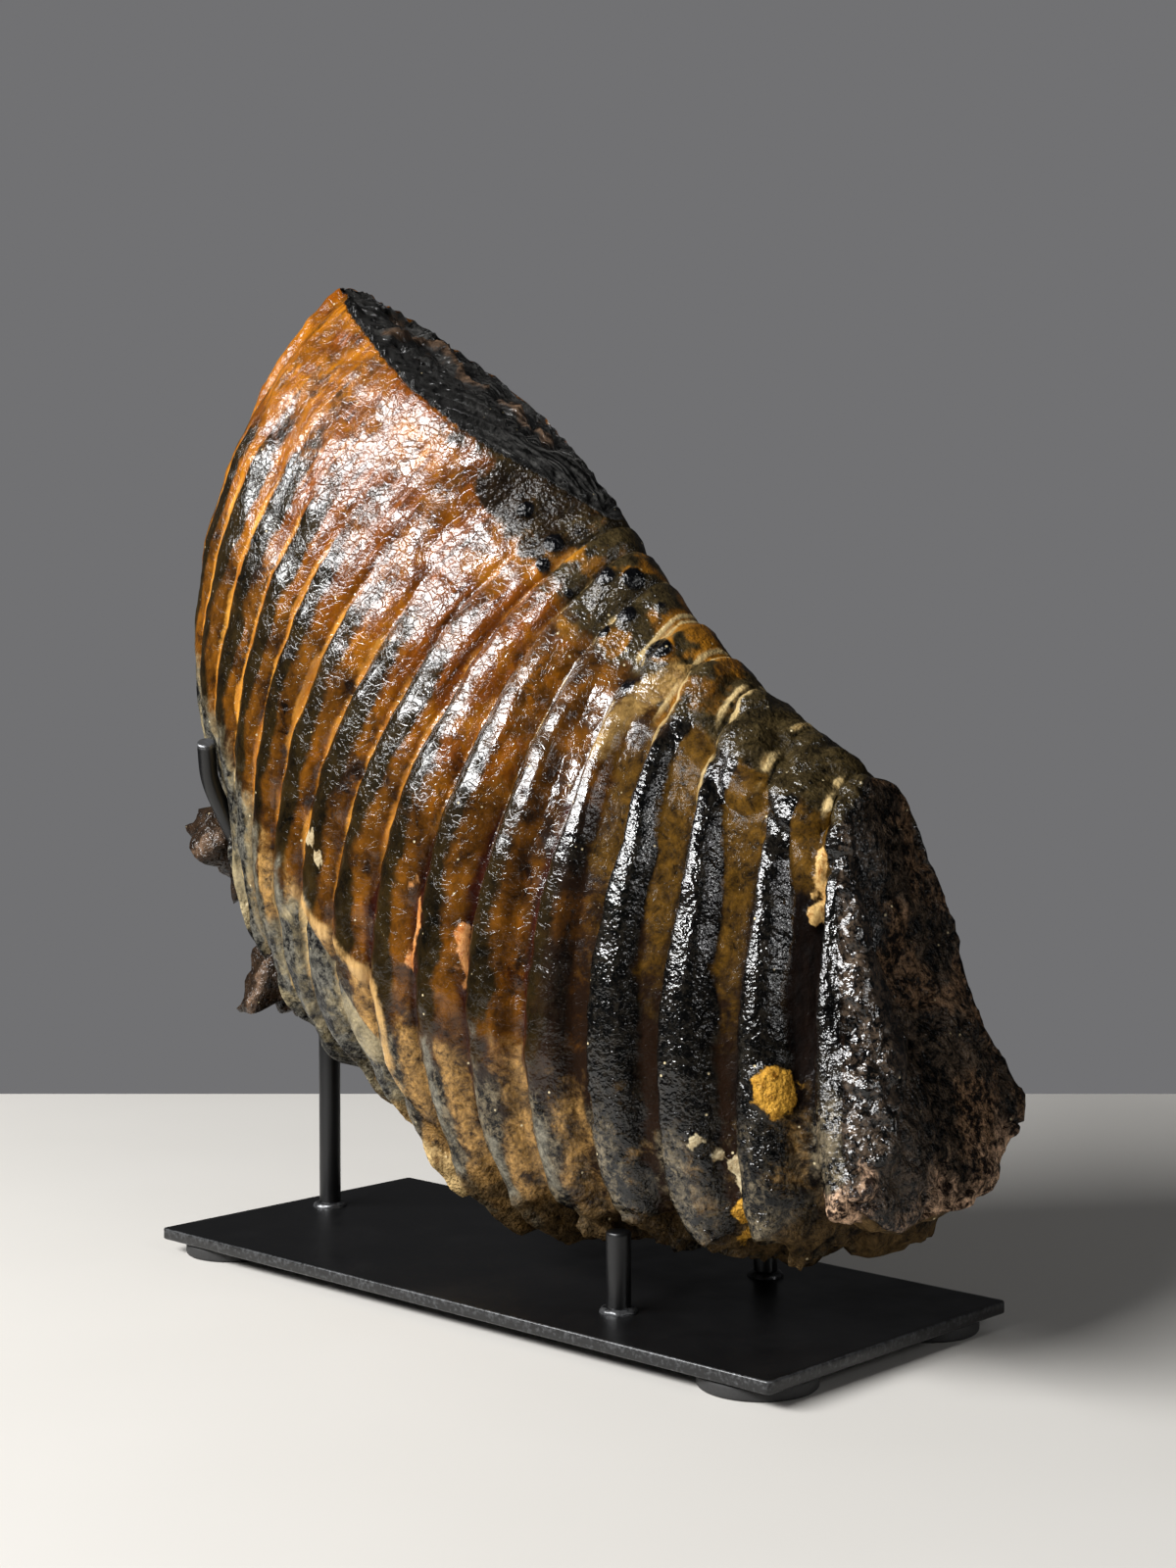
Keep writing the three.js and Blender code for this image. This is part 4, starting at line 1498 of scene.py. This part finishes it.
    def foot_masks(self, at: Ground) -> dict[str, Array]:
        """Masks of the lower third: speckled feet, tan slopes and the pale ground by the fold.

        Args:
            at: what each point lies on.

        Returns:
            The masks by name.
        """
        pale = np.maximum(at.under, at.low * smooth((at.plate - 11) / 2))
        toe = at.below * smooth((at.plate - 6.6) / 0.5) * smooth((9.6 - at.plate) / 0.8) * at.body
        return {
            "char": (smooth((at.depth - 0.68) / 0.14) * (1 - 0.6 * at.slope)
                     * (1 - 0.25 * at.right) * at.body),
            "grey": (at.low * at.body * bell(at.turn, 0.35, 0.16) * (1 - at.right)
                     * smooth(0.6 + at.blotch)),
            "tan": (at.low * at.slope * (1 - at.under) * (1 - 0.8 * at.right)
                    * (0.8 + 0.5 * at.blotch) * at.body),
            "beige": np.maximum(at.under, 0.9 * at.low * smooth((at.plate - 11) / 2)),
            "murk": pale * (0.65 + 0.45 * at.crest) * smooth(0.95 + 1.3 * at.streaky),
            "seam": bell(at.across, 0.58, 0.06) * np.maximum(at.under, at.low * at.left),
            "fold": bell(at.fold, 0, 2.4) * (0.8 + 0.3 * at.blotch),
            "crust": at.below * smooth((10 - at.plate) / 1.5) * (0.75 + 0.5 * at.blotch) * at.body,
            "toe": toe * smooth(0.75 + 0.8 * at.blotch),
        }

    def crown_masks(self, at: Ground) -> dict[str, Array]:
        """Masks of the rough crown: dark crust, ochre stains and the cream rims of the plates.

        Args:
            at: what each point lies on.

        Returns:
            The masks by name.
        """
        bar_edge = 0.6 + (0.43 - self.form.bar_width(at.level)) * at.free
        beside_bars = (bell(at.across, bar_edge, 0.045) * smooth((0.55 - at.depth) / 0.3)
                       * smooth((8 - at.plate) / 2) * smooth((at.ribbed - 2) / 0.5))
        over_crown = (bell(at.across, 0.6, 0.055) * smooth((0.14 - at.level) / 0.05)
                      * smooth((9.5 - at.plate) / 2))
        return {
            "crown": at.crown * at.body,
            "dusk": at.crown * smooth((at.plate - 7.6) / 1.2) * (0.75 + 0.4 * at.blotch),
            "ochre": (at.crown * smooth((at.blotch + 0.1) / 0.5) * smooth((at.plate - 3.2) / 1.5)
                      * smooth((9.5 - at.plate) / 1.5) * 0.9 * at.body),
            "rim": (np.maximum(beside_bars, over_crown) * at.body
                    * smooth(0.6 + 1.3 * at.blotch)),
        }

    def end_masks(self, at: Ground) -> dict[str, Array]:
        """Masks of the broken back end: dark stone, a clay lobe and pale stone at the foot.

        Args:
            at: what each point lies on.

        Returns:
            The masks by name.
        """
        x, y, z = at.point[..., 0], at.point[..., 1], at.point[..., 2]
        low_end = smooth((46 - z + 10 * at.patchy + 0.15 * (y + 20)) / 14)
        heel = (smooth((64 - z) / 12) * smooth((3 * at.blotch - y - 29) / 5)
                * smooth((x - 112) / 6))
        return {
            "end": at.back_end,
            "clay": at.back_end * at.lobe * smooth(0.45 + 0.9 * at.spread),
            "stone": np.maximum(at.back_end * low_end, heel * smooth(0.7 + at.blotch)),
        }

    def spot_masks(self, at: Ground) -> dict[str, Array]:
        """Masks of single spots: black knob tips, ochre patches, flakes, crumbs and lime.

        Args:
            at: what each point lies on.

        Returns:
            The masks by name.
        """
        return {
            "worn": at.worn,
            "tip": bumps(at.point, self.tips),
            "dot": bumps(at.point, self.dot),
            "patch": cones(at.torn, self.patch),
            "deposit": cones(at.torn, self.deposit),
            "cream": trail(at.torn, self.cream, 4.0, 1.4),
            "flake": trail(at.torn, self.flake, 1.8, 1.6),
            "crumb": (trail(at.torn, self.crumb, 2.3, 1.3)
                      + trail(at.torn, self.crumbs, 1.9, 1.3)),
        }

    def gloss_masks(self, at: Ground, shown: dict[str, Array]) -> dict[str, Array]:
        """Masks of what lacks varnish or has grit: bare, grainy and rocky ground.

        Args:
            at: what each point lies on.
            shown: the masks of the colours.

        Returns:
            The masks by name.
        """
        closed, rough_end = 1 - at.right, 0.9 * at.back_end * at.lobe + 0.6 * at.below
        crown = (0.35 + 0.3 * smooth((at.plate - 7) / 1.5)) * at.crown
        ribs = 0.35 * smooth((at.depth - 0.42) / 0.2) * closed * at.body + 0.25 * at.low * closed
        valleys = 0.95 * smooth(1.6 * at.right) * (1 - at.bar) * at.body
        first = (0.5 * smooth((2.3 - at.ribbed) / 0.4) * smooth((at.depth - 0.3) / 0.25)
                 * at.body)
        front = 0.4 * smooth(at.number - 16.2)
        spots = shown["patch"] + shown["deposit"]
        return {
            "grainy": np.clip(at.right * (0.5 + 0.5 * at.bar) + at.back_end + at.below
                              + 0.7 * at.crown + 0.8 * at.low, 0, 1),
            "bare": np.clip(crown + rough_end + 0.3 * at.worn + ribs + valleys
                            + 0.1 * at.amber + front + spots + first, 0, 1),
            "rocky": np.clip(0.4 * at.crown + rough_end + 0.2 * at.low + shown["patch"], 0, 1),
        }

    def masks(self, grid: Surface) -> dict[str, Array]:
        """Where each finish of the tooth shows.

        Args:
            grid: the tooth's form.

        Returns:
            Masks by name, 0 to 1 at each point.
        """
        at = self.ground(grid)
        shown = {**self.flank_masks(at), **self.column_masks(at), **self.foot_masks(at),
                 **self.crown_masks(at), **self.end_masks(at), **self.spot_masks(at)}
        return {**shown, **self.gloss_masks(at, shown)}

    def raised(self, grid: Surface, masks: dict[str, Array]) -> Array:
        """Height of everything that lies on the ribs.

        Args:
            grid: the tooth's form.
            masks: where each finish shows.

        Returns:
            Height in mm for each point.
        """
        point = grid.point
        fold, under = self.fold_gap(point)
        near, far = cells(point, self.pebble_mm, 5)
        pebble = smooth((far - near) / 0.5) - 0.6
        ledge = smooth((27 + 4 * field(point, 14, 23, 2) - point[..., 2]) / 3)
        ledge = ledge * smooth((6.5 - grid.plate) / 1.5) * (np.sin(grid.angle) > 0)
        knobs = sum(height * bumps(point, (spot,)) for *spot, height in self.knobs)
        spots = sum(height * masks[name] for name, height in self.spot_heights)
        torn_end = (1.5 * field(point, 13, 19, 3) + 0.6 * field(point, 4, 29, 2)
                    - 1.6 * bell(field(point, 9, 33, 2), 0, 0.12))
        return ((0.3 + 0.1 * masks["amber"]) * field(point, 5, 3, 3)
                + 0.4 * field(point, 11, 61) + 0.5 * masks["amber"] * field(point, 17, 71, 2)
                + 0.22 * masks["grainy"] * pebble + spots + knobs
                - 3.2 * ledge + (1.4 * ledge + 1.8 * masks["crust"]) * field(point, 6, 13, 3)
                + masks["end"] * torn_end
                + 0.25 * masks["rim"] * (grid.depth < 0.2) - 1.8 * under * np.exp(-fold / 12))

    def wear(self, grid: Surface, masks: dict[str, Array]) -> None:
        """Cuts the crown down to the worn face, with its pits, combing and raised lip.

        Args:
            grid: the tooth's form, whose points are moved.
            masks: where each finish shows; the worn face's own masks are added.
        """
        slope = self.form.worn_slope
        normal = np.array([-slope, 0, 1]) / math.hypot(1, slope)
        above = np.maximum(self.worn_gap(grid.point), 0)
        inside = smooth(above / 2.5)
        flat = grid.point - above[..., None] * normal
        x, y = flat[..., 0], flat[..., 1]
        cos, sin = self.pit_run
        pit = np.zeros(x.shape)
        for at_x, at_y, long, wide, deep in self.pits:
            along = (cos * (x - at_x) + sin * (y - at_y)) / long
            across = (sin * (x - at_x) - cos * (y - at_y)) / wide
            pit = np.maximum(pit, deep * smooth(1.25 - np.hypot(along, across)))
        lip = bell(distance_to_path(flat[..., :2], np.array(self.lip)), 0, self.lip_mm)
        far = smooth((y - 0.25 * x - 8) / 8)
        rough = field(flat, 7, 77, 3)
        # The combing follows rings round a centre; over a spacing in mm, arc gives its phase.
        arc = (np.hypot(x - self.comb_centre[0], y - self.comb_centre[1])
               + 0.8 * field(flat, 12, 31, 2)) * 2 * math.pi
        comb = np.sin(arc / self.comb_mm) + 0.4 * np.sin(arc / self.fine_comb_mm)
        drop = (1.25 * pit + far * (1.4 + 2.2 * rough) - self.lip_height * lip
                + comb * (1 - 0.6 * far)) * inside
        grid.point = flat - drop[..., None] * normal
        masks["stripe"] = arc / self.stripe_mm * inside
        # The pits are painted near black: painted shade in the hollows.
        masks["pit"] = smooth(pit / 2.0) * inside
        # The raised lip and rough far ridges get a paler brown: partly their own tone, partly
        # painted light.
        masks["lip"] = np.maximum(lip * (1 - masks["pit"]), 0.6 * far * smooth(rough)) * inside

    def build(self, finish: bpy.types.Material) -> bpy.types.Object:
        """Makes the tooth's mesh with its masks and dresses it.

        Args:
            finish: the tooth's material.

        Returns:
            The tooth.
        """
        grid = self.form.surface()
        masks = self.masks(grid)
        normal = self.normals(grid.point)
        grid.point = grid.point + normal * self.raised(grid, masks)[..., None]
        self.wear(grid, masks)
        grid.point = self.clear_of_claw(grid.point)
        masks["along"] = grid.depth * self.streak_run[0]
        masks["across"] = grid.plate * self.streak_run[1]
        masks["root"] = 0 * grid.depth
        tooth = grid_object("tooth_fossil", grid.point, masks)
        for seed, stump in enumerate(self.stumps):
            self.join(tooth, self.stump(seed, *stump, list(masks)))
        return dress(tooth, finish, "fossil", "tooth")

    def stump(self, seed: int, start: tuple, end: tuple, wide: float, narrow: float,
              names: list[str]) -> bpy.types.Object:
        """Broken root: a fluted, tapering stub whose end is jagged and hollow.

        Args:
            seed: number of its pattern.
            start: place of its base in mm.
            end: place of its broken end in mm.
            wide: half width at the base in mm.
            narrow: half width at the end in mm.
            names: names of the masks that the tooth's mesh has.

        Returns:
            The stub as an object of its own.
        """
        start, run = np.array(start, float), np.array(end, float) - np.array(start, float)
        length = np.linalg.norm(run)
        run /= length
        side = np.cross([0.0, 1.0, 0.0], run)
        side /= np.linalg.norm(side)
        up = np.cross(run, side)
        turn = ring_angles(self.stump_sides)[None, :]
        hollow_share, hollow_size = np.array(self.stump_hollow).T
        share = np.concatenate([np.linspace(-0.3, 1, self.stump_rings), hollow_share])[:, None]
        size = np.concatenate([np.ones(self.stump_rings), hollow_size])[:, None]
        broad = (wide + (narrow - wide) * np.clip(share, 0, 1)) * size
        flute = 1 + 0.13 * np.sin(3 * turn + seed) + 0.09 * np.cos(5 * turn + 2 * share + seed)
        jag = 3.5 * np.sin(turn + 1 + seed) + 2.4 * np.cos(4 * turn + seed)
        centre = start + (share * length)[..., None] * run
        point = (centre + (jag * smooth((share - 0.5) / 0.5))[..., None] * run
                 + (broad * flute * np.cos(turn))[..., None] * side
                 + (broad * flute * np.sin(turn))[..., None] * up)
        point = point + (field(point, 6, 91 + seed, 3) * 2.3)[..., None] * (point - centre) / wide
        point = self.clear_of_claw(point)
        flat = np.zeros(point.shape[:2])
        masks = {
            **{name: flat for name in names},
            "root": flat + 1, "along": flat + 4 * share, "across": flat + 3 * turn,
            "grainy": flat + 1, "bare": flat + 0.6, "rocky": flat + 0.5,
            # Painted shade: the hollow broken end is painted near black.
            "pit": flat + smooth((0.8 - size) / 0.3),
            # The flutes' ridges get the same paler brown: partly their own tone, partly painted
            # light.
            "lip": 0.75 * smooth((flute - 1.14) / 0.08) * (size > 0.9),
        }
        return grid_object(f"root_{seed}", point, masks)

    def join(self, tooth: bpy.types.Object, part: bpy.types.Object) -> None:
        """Fuses a part with the tooth into one mesh.

        Every edge still joins two faces, but where the two surfaces graze each other some edges
        come out so short that they vanish once the points are rounded.

        Args:
            tooth: the tooth, whose mesh is replaced.
            part: the part, which is removed.
        """
        union = tooth.modifiers.new("union", "BOOLEAN")
        union.operation, union.object, union.solver = "UNION", part, "MANIFOLD"
        shape = bpy.context.evaluated_depsgraph_get()
        fused = bpy.data.meshes.new_from_object(tooth.evaluated_get(shape))
        tooth.modifiers.clear()
        tooth.data = fused
        bpy.data.objects.remove(part)

    def clear_of_claw(self, point: Array) -> Array:
        """Draws the surface in wherever it comes too close to the claw.

        Args:
            point: rows by columns of places in mm.

        Returns:
            The places, each at least about the claw's room away from its centre line.
        """
        line = self.claw.line()
        inward = point.mean(axis=1, keepdims=True) - point
        inward /= np.maximum(np.linalg.norm(inward, axis=-1, keepdims=True), 1e-9)
        for _ in range(self.claw_passes):
            short = np.clip(self.claw_room - distance_to_path(point, line), 0, None)
            point = point + inward * short[..., None]
        return point


# ------------------------------------------------------------------ studio
@dataclass(frozen=True)
class Lamp:
    """Oblong soft light, aimed at the tooth from a direction and a distance in metres."""

    name: str
    away: tuple
    distance: float
    size: tuple
    power: float
    mirrored: bool = True
    shading: bool = True


@dataclass
class Studio:
    """Pale floor, soft lights and the camera."""

    camera_place: tuple = (440.1, -461.3, 156.0)
    azimuth: float = 42.9
    pitch: float = -2.27
    lens: float = 54.0
    sensor: float = 36.0
    clip: tuple = (0.01, 20.0)
    aim_height: float = 0.13

    # The fill only shades, so that no pane of it lies on the varnish. The sparkle and the glint
    # only mirror: two small panes that give the varnish its sparks.
    lamps: tuple = (
        Lamp("window", (-0.3, -0.8, 0.545), 1.3, (1.3, 0.4), 39.0),
        Lamp("fill", (-0.5, 0.85, 0.25), 1.6, (1.2, 1.2), 3.0, mirrored=False),
        Lamp("side", (0.93, -0.2, 0.42), 1.4, (0.4, 0.4), 1.7),
        Lamp("sparkle", (0.1, -0.85, 0.5), 1.3, (0.22, 0.22), 9.0, shading=False),
        Lamp("glint", (0.97, 0.1, 0.3), 1.3, (0.2, 0.2), 3.0, shading=False),
    )

    # The floor's inset and height of each ring in mm.
    floor_side: float = 620.0
    floor_levels: tuple = ((8, -30), (0, -28), (0, -2), (2, 0))
    floor_crease: float = 30.0
    floor_colours: tuple = ("#cfccc6", "#d9d6d1")
    floor_roughness: float = 0.6
    cloud_scale: float = 6.0

    surround: str = "#8a8a8c"
    backdrop: float = 0.65
    ambient: float = 0.13

    def camera(self) -> None:
        """Camera at eye level with the tooth's middle, three quarters round its back end."""
        turn, tilt = math.radians(self.azimuth), math.radians(self.pitch)
        forward = Vector((-math.sin(turn) * math.cos(tilt), math.cos(turn) * math.cos(tilt),
                          math.sin(tilt)))
        data = bpy.data.cameras.new("camera")
        data.lens, data.sensor_fit, data.sensor_height = self.lens, "VERTICAL", self.sensor
        data.clip_start, data.clip_end = self.clip
        camera = bpy.data.objects.new("camera", data)
        camera.location = Vector(np.array(self.camera_place) * MM + ORIGIN)
        camera.rotation_euler = forward.to_track_quat("-Z", "Y").to_euler()
        bpy.context.scene.collection.objects.link(camera)
        bpy.context.scene.camera = camera

    def light(self, lamp: Lamp) -> None:
        """Hangs one light, which may be only shading or only mirrored.

        Args:
            lamp: the light's direction, distance, size and power.
        """
        data = bpy.data.lights.new(lamp.name, "AREA")
        data.shape, data.size, data.size_y = "RECTANGLE", *lamp.size
        data.energy = lamp.power
        target = Vector(ORIGIN) + Vector((0, 0, self.aim_height))
        light = bpy.data.objects.new(lamp.name, data)
        light.location = target + Vector(lamp.away).normalized() * lamp.distance
        light.rotation_euler = (target - light.location).to_track_quat("-Z", "Y").to_euler()
        light.visible_glossy, light.visible_diffuse = lamp.mirrored, lamp.shading
        bpy.context.scene.collection.objects.link(light)

    def floor(self) -> None:
        """Plain pale table top, square to the camera."""
        half = self.floor_side / 2
        rings = np.stack([lathe([(half * math.sqrt(2) - inset, 0)], (0, 0, z), 4)[0]
                          for inset, z in self.floor_levels])
        turn = math.radians(self.azimuth + 45)
        rings = rings @ np.array([[math.cos(turn), math.sin(turn), 0],
                                  [-math.sin(turn), math.cos(turn), 0], [0, 0, 1]])
        rings[..., 2] -= ORIGIN[2] / MM
        table = grid_object("floor", rings, crease=self.floor_crease)
        # Matt laminate: flat and pale, with clouds too faint to read as a pattern.
        material, tree = blank_material("matt_pale_laminate")
        place = add_node(tree, "TexCoord").outputs["Object"]
        cloud = add_node(tree, "TexNoise", {"Scale": self.cloud_scale, "Detail": 3.0},
                         {"Vector": place}).outputs["Fac"]
        dark, light = self.floor_colours
        colour = add_node(tree, "Mix", {"data_type": "RGBA", 6: linear(dark),
                                        7: linear(light)}, {0: cloud}).outputs[2]
        shader = add_node(tree, "BsdfPrincipled", {"Roughness": self.floor_roughness},
                          {"Base Color": colour})
        add_node(tree, "OutputMaterial", {}, {"Surface": shader.outputs[0]})
        table.data.materials.append(material)

    def world(self) -> None:
        """Even grey surroundings behind the object, dim as seen by its surfaces."""
        world = bpy.data.worlds.new("studio")
        world.use_nodes = True
        tree = world.node_tree
        background = tree.nodes["Background"]
        background.inputs["Color"].default_value = linear(self.surround)
        seen = add_node(tree, "LightPath").outputs["Is Camera Ray"]
        strength = add_node(tree, "MapRange", {"To Min": self.ambient, "To Max": self.backdrop},
                            {"Value": seen}).outputs[0]
        tree.links.new(strength, background.inputs["Strength"])
        bpy.context.scene.world = world
        bpy.context.scene.view_settings.view_transform = "Standard"

    def build(self) -> None:
        """Sets up everything round the object."""
        self.world()
        self.floor()
        for lamp in self.lamps:
            self.light(lamp)
        self.camera()


def main() -> None:
    """Builds the dressed tooth and stand in the studio."""
    logging.basicConfig(level=logging.INFO, format="%(name)s: %(message)s")
    steel, rubber = PaintedSteel().material(), MouldedRubber().material()
    claw = Claw()
    FossilTooth(ToothForm(), claw).build(VarnishedFossil().material())
    claw.build(steel)
    stand = Stand()
    stand.plate(steel)
    for seed, node in enumerate(("post_left", "post_front_right", "post_rear_right")):
        stand.post(node, steel, seed)
    for node in ("foot_front_left", "foot_front_right", "foot_rear_left", "foot_rear_right"):
        stand.foot(node, rubber)
    Studio().build()


if __name__ == "__main__":
    main()
